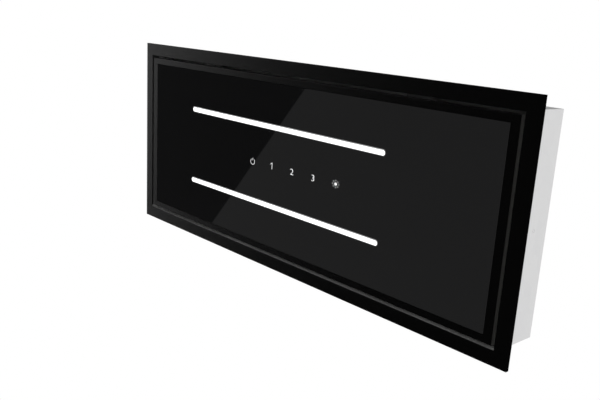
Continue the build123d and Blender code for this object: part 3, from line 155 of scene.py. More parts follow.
fill_strength = 0.55
world = bpy.data.worlds.new("surround")
bpy.context.scene.world = world
surround = Finish("surround", world)
camera_ray = surround.add("ShaderNodeLightPath", out="Is Camera Ray")
mirrored_ray = surround.add("ShaderNodeLightPath", out="Is Glossy Ray")
bent_ray = surround.add("ShaderNodeLightPath", out="Is Transmission Ray")
seen = surround.add("ShaderNodeMath", {"operation": "ADD", "use_clamp": True}, {
    0: camera_ray + mirrored_ray, 1: bent_ray,
})
fill_light = surround.add("ShaderNodeBackground", None, {"Color": grey(1.0), "Strength": fill_strength})
white = surround.add("ShaderNodeBackground", None, {"Color": grey(1.0), "Strength": 1.0})
white_where_seen = surround.add("ShaderNodeMixShader", None, {0: seen, 1: fill_light, 2: white})
surround.show(white_where_seen, "ShaderNodeOutputWorld")

lamp_size = 1.6


def lamp(name, place, aim, power):
    """Square soft lamp that points at aim, and that neither the camera nor a glossy face sees."""
    data = bpy.data.lights.new(name, "AREA")
    data.size = lamp_size
    data.energy = power
    shown = bpy.data.objects.new(name, data)
    shown.location = place
    shown.rotation_euler = (Vector(place) - Vector(aim)).to_track_quat("Z", "Y").to_euler()
    bpy.context.scene.collection.objects.link(shown)
    shown.visible_glossy = False
    shown.visible_camera = False


lamp("lamp_right", place=(2.6, -0.3, 0.7), aim=(0.0, 0.0, 0.05), power=60.0)
lamp("lamp_back", place=(-1.6, 2.2, 1.6), aim=(0.0, 0.0, 0.1), power=45.0)

floor_size = 14.0
floor_z = -1.6
bpy.ops.mesh.primitive_plane_add(size=floor_size, location=(0.0, 0.0, floor_z))
floor = bpy.context.object
floor.name = "floor"
floor_paint = Finish("floor_paint")
floor_grain = floor_paint.add("ShaderNodeTexNoise", None, {"Scale": 3.0, "Detail": 4.0})
floor_tone = floor_paint.between(floor_grain, grey(0.86), grey(0.9))
floor_shader = floor_paint.add("ShaderNodeBsdfPrincipled", None, {
    "Base Color": floor_tone, "Roughness": 0.8,
})
floor.data.materials.append(floor_paint.show(floor_shader))


def card(name, corners, level, strengths, span):
    """Flat card that only glossy faces see. Its light goes from the first strength to the second
    along X, over the span. It isn't sampled as a lamp, so that one card hides another behind it."""
    mesh = bpy.data.meshes.new(name)
    mesh.from_pydata([(x, y, level) for x, y in corners], [], [tuple(range(len(corners)))])
    shown = bpy.data.objects.new(name, mesh)
    bpy.context.scene.collection.objects.link(shown)
    glow = Finish(name + "_glow")
    place = glow.add("ShaderNodeTexCoord", out="Object")
    passed = glow.share(glow.coordinate(place, "X"), *span)
    tone = glow.between(passed, grey(strengths[0]), grey(strengths[1]))
    mesh.materials.append(glow.show(glow.add("ShaderNodeEmission", None, {"Color": tone})))
    glow.owner.cycles.emission_sampling = "NONE"
    shown.visible_camera = False
    shown.visible_diffuse = False
    shown.visible_shadow = False
    shown.visible_transmission = False


def oblong(low_x, high_x, low_y, high_y):
    """The corners of a card with square edges."""
    return [(low_x, low_y), (high_x, low_y), (high_x, high_y), (low_x, high_y)]


# Three cards lie level under the hood: a bright one at left, a dark one, and a grey one over
# the dark one's right side. The glass shows the slanting edge between dark and grey.
cards_z = -1.0
grey_card_z = -0.99
near_y = -2.6
far_y = 2.8
left_x = -4.6
right_x = 1.6
bright_edge = [(-0.5, near_y), (-4.3, far_y)]
grey_edge = [(-2.982, 2.1155), (1.1775, near_y)]
right_edge = [(right_x, near_y), (right_x, far_y)]
dark_corners = [bright_edge[0], *right_edge, bright_edge[1]]
bright_corners = [(left_x, near_y), *bright_edge, (left_x, far_y)]
card("card_dark", dark_corners, cards_z, strengths=(0.045, 0.06), span=(-2.2, -0.2))
card("card_grey", right_edge + grey_edge, grey_card_z, strengths=(0.17, 0.27), span=(-2.0, -0.1))
card("card_left", bright_corners, cards_z, strengths=(8.5, 8.5), span=(-4.0, -2.0))

above_corners = oblong(-3.0, 0.1, -3.0, 0.6)
card("card_above", above_corners, level=1.3, strengths=(0.2, 0.2), span=(-3.0, 0.0))

ceiling_z = 0.0002
ceiling_gap = 0.002
ceiling_end_x = -4.8
ceiling_end_y = 3.0
hood_x = cad_high.x + ceiling_gap
hood_y = cad_high.y + ceiling_gap
ceiling_cards = {
    "ceiling_left": oblong(ceiling_end_x, -hood_x, -ceiling_end_y, ceiling_end_y),
    "ceiling_near": oblong(-hood_x, hood_x, -ceiling_end_y, -hood_y),
    "ceiling_far": oblong(-hood_x, hood_x, hood_y, ceiling_end_y),
}
for name, corners in ceiling_cards.items():
    card(name, corners, ceiling_z, strengths=(0.7, 0.7), span=(-4.0, 0.0))


# Trim frame: one sheet of steel, folded on its outside to a return that closes on the ceiling
# and drawn inwards to a lip, which is riveted to the housing. It is brushed along the long side
# and lacquered black, thickly on the face and thinly where the sheet turns back from it. On the
# slot's walls light and shade are painted: the far wall lighter, the other walls darker.
slot_reach_x = 0.4295
slot_reach_y = 0.1545
fold_z = (-0.0058, -0.0053)
wall_z = (-0.005, 0.004)
inside_z = (0.006, 0.011)


def dress(name, finish):
    """Gives a CAD node its finish."""
    node = nodes[name]
    node.data.materials.clear()
    node.data.materials.append(finish)


def brushed_black(name, dim, lit, painted_light_axis, lit_from, inside):
    """Black lacquer over a brushed sheet. On the slot's walls it is thin, and goes with depth
    from the first colour of a pair to the second, and behind the walls to the colour inside.
    The pair is painted light and shade: lit where the wall lies past the given place on the
    given axis, dim elsewhere. The sheet's outer return is matt."""
    paint = Finish(name)
    place = paint.add("ShaderNodeTexCoord", out="Object")
    along = paint.add("ShaderNodeMapping", None, {"Vector": place, "Scale": (6.0, 900.0, 900.0)})
    streaks = paint.add("ShaderNodeTexNoise", None, {
        "Vector": along, "Scale": 1.0, "Detail": 6.0, "Roughness": 0.7,
    })
    patches = paint.add("ShaderNodeTexNoise", None, {"Vector": place, "Scale": 9.0, "Detail": 3.0})
    inner_x = paint.add("ShaderNodeMath", {"operation": "COMPARE"}, {
        0: paint.coordinate(place, "X"), 1: 0.0, 2: slot_reach_x,
    })
    inner_y = paint.add("ShaderNodeMath", {"operation": "COMPARE"}, {
        0: paint.coordinate(place, "Y"), 1: 0.0, 2: slot_reach_y,
    })
    # Painted light: walls past the given place on the given axis take the lit pair, the others the dim
    # pair.
    painted_lit_side = paint.add("ShaderNodeMath", {"operation": "GREATER_THAN"}, {
        0: paint.coordinate(place, painted_light_axis), 1: lit_from,
    })
    depth = paint.coordinate(place, "Z")
    past_fold = paint.share(depth, *fold_z)
    deeper = paint.share(depth, *wall_z)
    past_wall = paint.share(depth, *inside_z)
    black = paint.between(streaks, grey(0.0004), grey(0.0014))
    # Painted light and shade on the walls: the lit pair on one side, the dim pair elsewhere, each going
    # with depth.
    painted_wall_shading = paint.between(painted_lit_side, paint.between(deeper, *dim), paint.between(deeper, *lit))
    # The walls' painted light and shade, then the colour inside, darkened in random patches of wear.
    painted_shading_and_wear = paint.between(0.5 * patches, paint.between(past_wall, painted_wall_shading, inside), grey(0.01))
    inner = inner_x * inner_y
    colour = paint.between(past_fold * inner, black, painted_shading_and_wear)
    rough = 0.34 + 0.12 * streaks + 0.04 * patches
    bump = paint.add("ShaderNodeBump", None, {"Strength": 0.12, "Distance": 0.0002, "Height": streaks})
    shader = paint.add("ShaderNodeBsdfPrincipled", None, {
        "Base Color": colour, "Roughness": rough, "Specular IOR Level": 0.02, "Normal": bump,
    })
    matte = paint.add("ShaderNodeBsdfDiffuse", None, {"Color": grey(0.0009), "Roughness": 0.5})
    turned_back = past_fold * (1.0 - inner)
    return paint.show(paint.add("ShaderNodeMixShader", None, {0: turned_back, 1: shader, 2: matte}))


# Painted light and shade for the slot's walls: the dim pair is painted shade, the lit pair painted light
# on the far wall.
frame_wall_painted_shade = ((0.02, 0.02, 0.0195, 1.0), (0.09, 0.09, 0.089, 1.0))
frame_wall_painted_light = ((0.3, 0.3, 0.297, 1.0), (0.72, 0.72, 0.715, 1.0))
frame_lit_from_y = 0.15
frame_inside = (0.55, 0.55, 0.545, 1.0)
frame_black = brushed_black("frame_black", frame_wall_painted_shade, frame_wall_painted_light, "Y", frame_lit_from_y, frame_inside)
dress("trim_frame", frame_black)


# Rim of the hinged panel: the same brushed and lacquered steel, folded round the glass,
# with a narrow open slot between it and the trim frame where the air goes in. On its walls in
# the slot light and shade are painted: the right end's wall lighter, the other walls darker.
# Painted light and shade for the slot's walls: the dim pair is painted shade, the lit pair painted light
# on the wall at the right end.
rim_wall_painted_shade = (grey(0.008), grey(0.03))
rim_wall_painted_light = ((0.06, 0.06, 0.056, 1.0), (0.27, 0.27, 0.255, 1.0))
rim_lit_from_x = 0.42
rim_inside = grey(0.03)
rim_black = brushed_black("rim_black", rim_wall_painted_shade, rim_wall_painted_light, "X", rim_lit_from_x, rim_inside)
dress("panel_rim", rim_black)


# Glass of the panel: hardened glass, printed black behind, with ground edges and two slots for
# the lamps. It lies in the panel's rim, a little behind the face.
def black_glass():
    """Polished glass over black print, with the faint marks of wiping."""
    pane = Finish("black_glass")
    place = pane.add("ShaderNodeTexCoord", out="Object")
    wiped = pane.add("ShaderNodeMapping", None, {
        "Vector": place, "Scale": (3.0, 9.0, 1.0), "Rotation": (0.0, 0.0, 0.35),
    })
    marks = pane.add("ShaderNodeTexNoise", None, {
        "Vector": wiped, "Scale": 2.2, "Detail": 5.0, "Roughness": 0.6,
    })
    specks = pane.add("ShaderNodeTexVoronoi", None, {"Vector": place, "Scale": 220.0}, "Distance")
    dust = pane.share(specks, 0.05, 0.02)
    rough = 0.012 + 0.02 * marks + 0.05 * dust
    tone = pane.between(marks, (0.0012, 0.0012, 0.0014, 1.0), (0.0022, 0.0022, 0.0024, 1.0))
    shader = pane.add("ShaderNodeBsdfPrincipled", None, {
        "Base Color": tone, "Roughness": rough, "IOR": 1.5,
    })
    return pane.show(shader)


dress("glass_pane", black_glass())


# Lamps: opal lenses of acrylic that fill the slots of the glass, lit from behind by a strip
# of small lamps in an aluminium channel. A lip holds each lens behind the edge of its slot.
lens_low, lens_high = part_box("lamp_lens_far")
lens_lip = 0.0025
lens_middle_x = (lens_low.x + lens_high.x) / 2
lens_middle_y = (lens_low.y + lens_high.y) / 2
lens_half_l = (lens_high.x - lens_low.x) / 2 - lens_lip
lens_half_w = (lens_high.y - lens_low.y) / 2 - lens_lip
lens_straight = lens_half_l - lens_half_w
lens_shade = 0.00042
lens_dim_rim = 0.0013
lens_lit_half = lens_half_w - lens_shade


def opal():
    """Lit opal acrylic, less bright at its rim: in part the lens's own fall-off, in part painted shade of
    the glass's edge.
    """
    lens = Finish("opal_lens")
    place = lens.add("ShaderNodeTexCoord", out="Object")
    cloud = lens.add("ShaderNodeTexNoise", None, {"Vector": place, "Scale": 40.0, "Detail": 3.0})
    from_end = lens.add("ShaderNodeMath", {"operation": "ABSOLUTE"}, {
        0: lens.coordinate(place, "X") - lens_middle_x,
    })
    from_row = lens.add("ShaderNodeMath", {"operation": "ABSOLUTE"}, {
        0: lens.coordinate(place, "Y") - lens_shade,
    })
    aside = from_row - lens_middle_y
    past_end = lens.add("ShaderNodeMath", {"operation": "MAXIMUM"}, {
        0: from_end - lens_straight, 1: 0.0,
    })
    from_axis = lens.add("ShaderNodeMath", {"operation": "SQRT"}, {
        0: aside * aside + past_end * past_end,
    })
    smooth = {"interpolation_type": "SMOOTHSTEP"}
    # Painted shade: glow and colour darken toward the rim, and the lit band is moved to one side, where
    # the edge of the glass shades it.
    rim = lens.share(from_axis, lens_lit_half - lens_dim_rim, lens_lit_half, smooth)
    bright = lens.between(cloud, (0.97, 0.98, 1.0, 1.0), grey(1.0))
    glow = lens.between(rim, bright, grey(0.12))
    base = lens.between(rim, grey(0.9), grey(0.2))
    shader = lens.add("ShaderNodeBsdfPrincipled", None, {
        "Base Color": base, "Roughness": 0.35 + 0.05 * cloud,
        "Emission Color": glow, "Emission Strength": 1.0,
    })
    return lens.show(shader)


lit_opal = opal()
for side in ("near", "far"):
    dress("lamp_lens_" + side, lit_opal)


# Touch symbols: power ring, digits 1 to 3 and a small sun, left clear in the black print and
# lit from behind. Here they are thin plates of lit film on the face of the glass.
symbol_row_y = -0.0017
symbol_face_z = -0.0059
film_thick = 0.00012
weld_gap = 0.00001

digit_tall = 0.0107
digit_spread = 1.42
digit_rise = 0.0004
digit_thin = -0.0003
digit_y = symbol_row_y - digit_rise
font_cap_share = 0.729
digit_places = (("2", 0.0109), ("3", 0.0625))

one_x = -0.0403
one_line = 0.0008
flag_long = 0.0046
flag_line = 0.8 * one_line
flag_turn = math.radians(58.0)
flag_overlap = 0.0003
flag_x = one_x - one_line / 2 - flag_long / 2 * math.sin(flag_turn) + flag_overlap
flag_y = digit_y - digit_tall / 2 + one_line / 2 + flag_long / 2 * math.cos(flag_turn)

power_x = -0.0934
power_y = symbol_row_y + 0.0013
ring_outer_r = 0.0053
ring_line = 0.00062
ring_inner_share = 1.0 - ring_line / ring_outer_r
ring_opening = 38.0
ring_spread = 1.12
ring_corners = 48
bar_long = 0.0038
bar_above_ring = 0.0009
bar_y = power_y - ring_outer_r - bar_above_ring + bar_long / 2

sun_x = 0.1147
sun_y = symbol_row_y - 0.001
sun_r = 0.0021
sun_spread = 1.24
sun_corners = 32
ray_inner_r = 0.0046
ray_outer_r = 0.0063
ray_middle_r = (ray_inner_r + ray_outer_r) / 2
ray_line = 0.0005
ray_count = 8


def lit_film():
    """White film, lit from behind, a little uneven from dot to dot."""
    film = Finish("lit_film")
    place = film.add("ShaderNodeTexCoord", out="Object")
    uneven = film.add("ShaderNodeTexNoise", None, {"Vector": place, "Scale": 300.0, "Detail": 2.0})
    glow = film.between(uneven, (0.72, 0.73, 0.74, 1.0), (0.82, 0.82, 0.83, 1.0))
    shader = film.add("ShaderNodeBsdfPrincipled", None, {
        "Base Color": grey(0.8), "Roughness": 0.4 + 0.05 * uneven,
        "Emission Color": glow, "Emission Strength": 1.0,
    })
    return film.show(shader)


film_finish = lit_film()


def settle():
    """Writes the new piece's place, turn and scale into its mesh."""
    bpy.ops.object.transform_apply(location=True, rotation=True, scale=True)
    return bpy.context.object


def film_piece(name, piece, spread=1.0, middle_x=0.0):
    """Names a flat symbol, spreads it from its middle, gives it its thickness and lights it."""
    piece.name = name
    bpy.ops.object.mode_set(mode="EDIT")
    bpy.ops.mesh.select_all(action="SELECT")
    bpy.ops.mesh.remove_doubles(threshold=weld_gap)
    bpy.ops.transform.resize(value=(spread, 1.0, 1.0), center_override=(middle_x, 0.0, 0.0))
    bpy.ops.mesh.extrude_region_move(TRANSFORM_OT_translate={"value": (0.0, 0.0, film_thick)})
    bpy.ops.mesh.select_all(action="SELECT")
    bpy.ops.mesh.normals_make_consistent(inside=False)
    bpy.ops.object.mode_set(mode="OBJECT")
    piece.data.materials.append(film_finish)
    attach(piece, "panel")


def stroke(name, x, y, long_x, long_y, turn=0.0, spread=1.0, middle_x=0.0):
    """One straight stroke of a symbol."""
    bpy.ops.object.select_all(action="DESELECT")
    bpy.ops.mesh.primitive_plane_add(size=1.0, location=(x, y, symbol_face_z), rotation=(0.0, 0.0, turn))
    bpy.context.object.scale = (long_x, long_y, 1.0)
    film_piece(name, settle(), spread, middle_x)


for digit, digit_x in digit_places:
    bpy.ops.object.select_all(action="DESELECT")
    bpy.ops.object.text_add(location=(0.0, 0.0, 0.0))
    written = bpy.context.object
    written.data.body = digit
    written.data.align_x = "CENTER"
    written.data.align_y = "BOTTOM_BASELINE"
    written.data.size = digit_tall / font_cap_share
    written.data.offset = digit_thin
    bpy.ops.object.convert(target="MESH")
    written = bpy.context.object
    written.rotation_euler = (math.pi, 0.0, 0.0)
    written.scale = (digit_spread, 1.0, 1.0)
    written.location = (digit_x, digit_y + digit_tall / 2, symbol_face_z)
    film_piece("symbol_" + digit, settle())

stroke("symbol_1_stem", one_x, digit_y, one_line, digit_tall)
stroke("symbol_1_flag", flag_x, flag_y, flag_line, flag_long, flag_turn)

power_place = (power_x, power_y, symbol_face_z)
bpy.ops.object.select_all(action="DESELECT")
bpy.ops.mesh.primitive_circle_add(vertices=ring_corners, radius=ring_outer_r, location=power_place)
ring_piece = settle()
bpy.ops.object.mode_set(mode="EDIT")
bpy.ops.mesh.select_all(action="SELECT")
bpy.ops.mesh.extrude_edges_move()
bpy.ops.transform.resize(value=(ring_inner_share, ring_inner_share, 1.0), center_override=power_place)
bpy.ops.mesh.select_all(action="DESELECT")
bpy.ops.object.mode_set(mode="OBJECT")
for face in ring_piece.data.polygons:
    from_bar = math.atan2(abs(face.center.x - power_x), power_y - face.center.y)
    face.select = math.degrees(from_bar) < ring_opening
bpy.ops.object.mode_set(mode="EDIT")
bpy.ops.mesh.delete(type="FACE")
bpy.ops.object.mode_set(mode="OBJECT")
film_piece("symbol_power_ring", ring_piece, ring_spread, power_x)
stroke("symbol_power_bar", power_x, bar_y, ring_line, bar_long)

sun_place = (sun_x, sun_y, symbol_face_z)
bpy.ops.object.select_all(action="DESELECT")
bpy.ops.mesh.primitive_circle_add(
    vertices=sun_corners, radius=sun_r, fill_type="NGON", location=sun_place,
)
film_piece("symbol_sun_dot", settle(), sun_spread, sun_x)
for number in range(ray_count):
    turn = number * math.tau / ray_count
    ray_x = sun_x + ray_middle_r * math.cos(turn)
    ray_y = sun_y + ray_middle_r * math.sin(turn)
    ray_name = "symbol_sun_ray_" + str(number)
    stroke(ray_name, ray_x, ray_y, ray_outer_r - ray_inner_r, ray_line, turn, sun_spread, sun_x)


# Filter deck, its edge angles and the filter rails: sheet steel under a dark grey lacquer,
# riveted and screwed into the housing. Their tone gives the faint light in the panel's slot.
def deck_lacquer():
    """Satin dark grey lacquer with a slight orange peel and a film of dust."""
    paint = Finish("deck_lacquer")
    place = paint.add("ShaderNodeTexCoord", out="Object")
    peel = paint.add("ShaderNodeTexNoise", None, {"Vector": place, "Scale": 500.0, "Detail": 2.0})
    film = paint.add("ShaderNodeTexNoise", None, {"Vector": place, "Scale": 11.0, "Detail": 4.0})
    colour = paint.between(film, (0.19, 0.19, 0.188, 1.0), (0.24, 0.24, 0.237, 1.0))
    bump = paint.add("ShaderNodeBump", None, {"Strength": 0.1, "Distance": 0.0001, "Height": peel})
    shader = paint.add("ShaderNodeBsdfPrincipled", None, {
        "Base Color": colour, "Roughness": 0.4 + 0.12 * film, "Specular IOR Level": 0.2, "Normal": bump,
    })
    return paint.show(shader)


deck_finish = deck_lacquer()
for name in ("filter_deck", "deck_edges", "filter_rail_near", "filter_rail_far"):
    dress(name, deck_finish)


# Housing: folded from zinc coated sheet and left bare, since it is out of sight in the ceiling.
# The panel's back plate, the hangers and the rivets have the same coat.
def zinc_sheet(name, low, high, rough_low, scale):
    """Zinc coated steel with its flowers, the grain of rolling and dull patches."""
    sheet = Finish(name)
    place = sheet.add("ShaderNodeTexCoord", out="Object")
    flowers = sheet.add("ShaderNodeTexVoronoi", None, {"Vector": place, "Scale": scale}, "Color")
    tone = sheet.add("ShaderNodeSeparateColor", None, {"Color": flowers}, "Red")
    patches = sheet.add("ShaderNodeTexNoise", None, {"Vector": place, "Scale": 7.0, "Detail": 4.0})
    rolled = sheet.add("ShaderNodeMapping", None, {"Vector": place, "Scale": (8.0, 500.0, 500.0)})
    grain = sheet.add("ShaderNodeTexNoise", None, {"Vector": rolled, "Scale": 1.0, "Detail": 3.0})
    colour = sheet.between(0.5 * tone + 0.5 * patches, low, high)
    rough = rough_low + 0.1 * tone + 0.12 * patches
    bump = sheet.add("ShaderNodeBump", None, {"Strength": 0.08, "Distance": 0.0003, "Height": grain})
    shader = sheet.add("ShaderNodeBsdfPrincipled", None, {
        "Base Color": colour, "Metallic": 0.85, "Roughness": rough, "Normal": bump,
    })
    return sheet.show(shader)


housing_low = (0.6, 0.6, 0.605, 1.0)
housing_zinc = zinc_sheet("housing_zinc", housing_low, grey(0.68), rough_low=0.36, scale=60.0)
for name in ("housing_walls", "housing_top", "panel_plate", "hangers"):
    dress(name, housing_zinc)
for name in ("frame_rivets", "deck_rivets"):
    dress(name, housing_zinc)


# Screws, hinge parts, shaft and the other small steel pieces: turned, pressed or cut, then
# plated with bright zinc, which is a touch blue.
def plated_steel():
    """Zinc plate with fine turning marks and small dull spots."""
    plate = Finish("plated_steel")
    place = plate.add("ShaderNodeTexCoord", out="Object")
    spots = plate.add("ShaderNodeTexNoise", None, {"Vector": place, "Scale": 260.0, "Detail": 4.0})
    clouds = plate.add("ShaderNodeTexNoise", None, {"Vector": place, "Scale": 45.0, "Detail": 2.0})
    colour = plate.between(clouds, (0.52, 0.53, 0.55, 1.0), (0.68, 0.69, 0.7, 1.0))
    rough = 0.24 + 0.14 * spots + 0.08 * clouds
    bump = plate.add("ShaderNodeBump", None, {"Strength": 0.1, "Distance": 0.0001, "Height": spots})
    shader = plate.add("ShaderNodeBsdfPrincipled", None, {
        "Base Color": colour, "Metallic": 1.0, "Roughness": rough, "Normal": bump,
    })
    return plate.show(shader)


small_steel = plated_steel()
for name in ("deck_screws", "panel_screws", "housing_screws", "blower_screws", "control_lid_screws",
             "catch_strikes", "flap_rod", "motor_shaft", "impeller_nut"):
    dress(name, small_steel)
for name in ("hinge_leaf_", "hinge_pin_", "hinge_bracket_"):
    for side in ("left", "right"):
        dress(name + side, small_steel)


# Grease filters: an aluminium rim with mitred corners round three layers of slit and stretched
# aluminium foil. The channels of the lamps are drawn from the same aluminium.
def mill_aluminium():
    """Extruded aluminium with its long die lines."""
    metal = Finish("mill_aluminium")
    place = metal.add("ShaderNodeTexCoord", out="Object")
    drawn = metal.add("ShaderNodeMapping", None, {"Vector": place, "Scale": (5.0, 700.0, 700.0)})
    lines = metal.add("ShaderNodeTexNoise", None, {"Vector": drawn, "Scale": 1.0, "Detail": 5.0})
    clouds = metal.add("ShaderNodeTexNoise", None, {"Vector": place, "Scale": 12.0, "Detail": 3.0})
    colour = metal.between(clouds, (0.6, 0.605, 0.61, 1.0), grey(0.7))
    rough = 0.28 + 0.12 * lines + 0.08 * clouds
    bump = metal.add("ShaderNodeBump", None, {"Strength": 0.1, "Distance": 0.0002, "Height": lines})
    shader = metal.add("ShaderNodeBsdfPrincipled", None, {
        "Base Color": colour, "Metallic": 1.0, "Roughness": rough, "Normal": bump,
    })
    return metal.show(shader)


def expanded_foil():
    """Slit and stretched aluminium foil, slightly dulled by cooking."""
    foil = Finish("expanded_foil")
    place = foil.add("ShaderNodeTexCoord", out="Object")
    dull = foil.add("ShaderNodeTexNoise", None, {"Vector": place, "Scale": 16.0, "Detail": 4.0})
    colour = foil.between(dull, (0.5, 0.5, 0.49, 1.0), grey(0.66))
    shader = foil.add("ShaderNodeBsdfPrincipled", None, {
        "Base Color": colour, "Metallic": 1.0, "Roughness": 0.3 + 0.2 * dull,
    })
    return foil.show(shader)


aluminium = mill_aluminium()
for name in ("filter_frame_left", "filter_frame_right", "lamp_channel_near", "lamp_channel_far"):
    dress(name, aluminium)

foil_finish = expanded_foil()
foil_layers = 3
foil_strand = 0.0007
foil_inset = 0.001
diamond_long = 0.0125
diamond_wide = 0.0075


def foil_layer(name, low, high, layer):
    """One layer of foil in its core's box: a grid whose squares are cut crosswise, and whose own
    lines are then taken out, which leaves diamonds, drawn as strands. Every second layer has
    one square less each way, so that its strands don't lie over those of the next."""
    size = high - low
    level = low.z + size.z * (layer + 0.5) / foil_layers
    across = int(size.x / diamond_long) - layer % 2
    along = int(size.y / diamond_wide) - layer % 2
    middle = ((low.x + high.x) / 2, (low.y + high.y) / 2, level)
    bpy.ops.object.select_all(action="DESELECT")
    bpy.ops.mesh.primitive_grid_add(x_subdivisions=across, y_subdivisions=along, size=1.0, location=middle)
    bpy.context.object.scale = (size.x - foil_inset, size.y - foil_inset, 1.0)
    sheet = settle()
    sheet.name = name
    grid_corners = len(sheet.data.vertices)
    bpy.ops.object.mode_set(mode="EDIT")
    bpy.ops.mesh.select_mode(type="EDGE")
    bpy.ops.mesh.select_all(action="SELECT")
    bpy.ops.mesh.poke()
    bpy.ops.mesh.select_all(action="DESELECT")
    bpy.ops.object.mode_set(mode="OBJECT")
    faces_on = {}
    for face in sheet.data.polygons:
        for key in face.edge_keys:
            faces_on[key] = faces_on.get(key, 0) + 1
    for edge in sheet.data.edges:
        of_grid = max(edge.vertices) < grid_corners
        edge.select = of_grid and faces_on[edge.key] == 2
    bpy.ops.object.mode_set(mode="EDIT")
    bpy.ops.mesh.dissolve_edges(use_verts=False)
    bpy.ops.object.mode_set(mode="OBJECT")
    strands = sheet.modifiers.new("strands", "WIREFRAME")
    strands.thickness = foil_strand
    strands.use_even_offset = False
    bpy.ops.object.modifier_apply(modifier="strands")
    sheet.data.materials.append(foil_finish)
    return sheet


for side in ("left", "right"):
    core_low, core_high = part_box("filter_mesh_" + side)
    for layer in range(foil_layers):
        sheet = foil_layer("filter_foil_" + side + "_" + str(layer), core_low, core_high, layer)
        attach(sheet, "housing")
        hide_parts("filter_mesh_" + side)


# Filter latches, touch cover, gland and the duct collar with its flaps: moulded in black
# plastic, and clipped or screwed in their places. The blower's scroll, cover and wheel are
# moulded in the same plastic.
def moulded(name, low, high, rough_low):
    """Moulded plastic with the fine grain of its tool and slight flow marks."""
    plastic = Finish(name)
    place = plastic.add("ShaderNodeTexCoord", out="Object")
    grain = plastic.add("ShaderNodeTexNoise", None, {"Vector": place, "Scale": 900.0, "Detail": 3.0})
    flow = plastic.add("ShaderNodeTexNoise", None, {"Vector": place, "Scale": 14.0, "Detail": 3.0})
    colour = plastic.between(flow, low, high)
    rough = rough_low + 0.1 * flow + 0.08 * grain
    bump = plastic.add("ShaderNodeBump", None, {"Strength": 0.15, "Distance": 0.0001, "Height": grain})
    shader = plastic.add("ShaderNodeBsdfPrincipled", None, {
        "Base Color": colour, "Roughness": rough, "Normal": bump,
    })
    return plastic.show(shader)


black_high = (0.022, 0.022, 0.023, 1.0)
black_plastic = moulded("black_moulding", grey(0.012), black_high, rough_low=0.42)
for name in ("filter_latch_left", "filter_latch_right", "touch_cover", "mains_gland",
             "duct_collar", "flap_far", "flap_near", "blower_scroll", "scroll_cover", "impeller"):
    dress(name, black_plastic)


# Magnetic catches: two magnets in plastic holders on the trim frame's lip. The holders are
# black on the face that lies behind the slot round the panel, and a lighter grey behind that
# face is painted light, which lifts the shade on their ends.
catch_face_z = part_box("magnetic_catches")[0].z
catch_black_to_painted_light = 0.0005


def catch_moulding():
    """Matt plastic, black on the face that the magnets look out of, with painted light in a lighter grey
    behind it.
    """
    plastic = Finish("catch_moulding")
    place = plastic.add("ShaderNodeTexCoord", out="Object")
    grain = plastic.add("ShaderNodeTexNoise", None, {"Vector": place, "Scale": 900.0, "Detail": 3.0})
    behind = plastic.share(plastic.coordinate(place, "Z"), catch_face_z, catch_face_z + catch_black_to_painted_light)
    black = plastic.between(grain, grey(0.045), grey(0.06))
    # Painted light: behind the black face the holder turns lighter grey, which lifts the shade on its
    # ends.
    colour = plastic.between(behind, black, grey(0.26))
    shader = plastic.add("ShaderNodeBsdfPrincipled", None, {
        "Base Color": colour, "Roughness": 0.6 + 0.1 * grain, "Specular IOR Level": 0.06,
    })
    return plastic.show(shader)


dress("magnetic_catches", catch_moulding())


# Blower box: folded from zinc coated sheet and screwed to the roof of the housing. The inlet
# ring and the motor's bracket in it are pressed from the same sheet, and the motor has a cast
# and pressed shell.
box_low = (0.46, 0.465, 0.47, 1.0)
box_high = (0.6, 0.605, 0.61, 1.0)
box_zinc = zinc_sheet("box_zinc", box_low, box_high, rough_low=0.3, scale=45.0)
for name in ("blower_box", "blower_lid", "inlet_ring", "motor_bracket"):
    dress(name, box_zinc)


def motor_shell():
    """Cast and pressed motor shell in plain grey metal."""
    shell = Finish("motor_shell")
    place = shell.add("ShaderNodeTexCoord", out="Object")
    cast = shell.add("ShaderNodeTexNoise", None, {"Vector": place, "Scale": 350.0, "Detail": 4.0})
    colour = shell.between(cast, (0.3, 0.305, 0.31, 1.0), grey(0.4))
    bump = shell.add("ShaderNodeBump", None, {"Strength": 0.25, "Distance": 0.0002, "Height": cast})
    shader = shell.add("ShaderNodeBsdfPrincipled", None, {
        "Base Color": colour, "Metallic": 0.9, "Roughness": 0.38 + 0.1 * cast, "Normal": bump,
    })
    return shell.show(shader)


dress("motor", motor_shell())


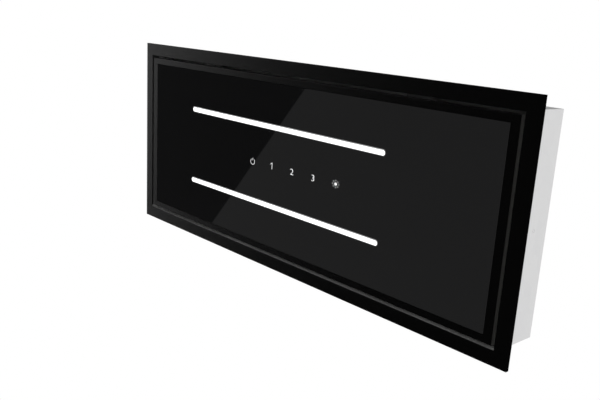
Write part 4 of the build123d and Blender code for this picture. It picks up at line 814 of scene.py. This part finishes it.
# Control box with its lid, lamp driver and the conduit to the blower: moulded in light grey
# plastic and screwed to the housing's roof.
grey_low = (0.42, 0.43, 0.44, 1.0)
grey_high = (0.5, 0.51, 0.52, 1.0)
grey_plastic = moulded("grey_moulding", grey_low, grey_high, rough_low=0.45)
for name in ("control_box", "control_lid", "lamp_driver", "motor_conduit"):
    dress(name, grey_plastic)


# Circuit boards: green lacquer over copper tracks, with dark and pale parts soldered on.
# The lamps' boards lie in their channels, one is behind the glass and one in the control box.
board_thick = 0.0016
board_skin = 0.00001
power_board_rise = 0.006
part_paler = 1.3
lamp_tone = (0.75, 0.7, 0.3, 1.0)
touch_tone = (0.03, 0.03, 0.032, 1.0)
power_tone = grey(0.1)


def circuit(name, low_z, part_tone):
    """Green board from low_z up, with parts of another tone above and below it."""
    board = Finish(name)
    place = board.add("ShaderNodeTexCoord", out="Object")
    height = board.coordinate(place, "Z")
    above = board.add("ShaderNodeMath", {"operation": "GREATER_THAN"}, {
        0: height, 1: low_z + board_thick + board_skin,
    })
    below = board.add("ShaderNodeMath", {"operation": "LESS_THAN"}, {0: height, 1: low_z - board_skin})
    tracks = board.add("ShaderNodeTexBrick", {"offset": 0.37}, {
        "Vector": place, "Scale": 90.0, "Mortar Size": 0.03,
        "Color1": (0.012, 0.09, 0.035, 1.0), "Color2": (0.016, 0.12, 0.045, 1.0),
        "Mortar": (0.04, 0.2, 0.08, 1.0),
    })
    grain = board.add("ShaderNodeTexNoise", None, {"Vector": place, "Scale": 400.0})
    part_pale = tuple(min(1.0, part_paler * tone) for tone in part_tone[:3]) + (1.0,)
    part = board.between(grain, part_tone, part_pale)
    shader = board.add("ShaderNodeBsdfPrincipled", None, {
        "Base Color": board.between(above + below, tracks, part), "Roughness": 0.35 + 0.15 * grain,
    })
    return board.show(shader)


for side in ("near", "far"):
    lamp_board_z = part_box("lamp_board_" + side)[1].z - board_thick
    dress("lamp_board_" + side, circuit("lamp_circuit_" + side, lamp_board_z, lamp_tone))
touch_board_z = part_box("touch_board")[0].z
dress("touch_board", circuit("touch_circuit", touch_board_z, touch_tone))
power_board_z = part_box("power_board")[0].z + power_board_rise
dress("power_board", circuit("power_circuit", power_board_z, power_tone))
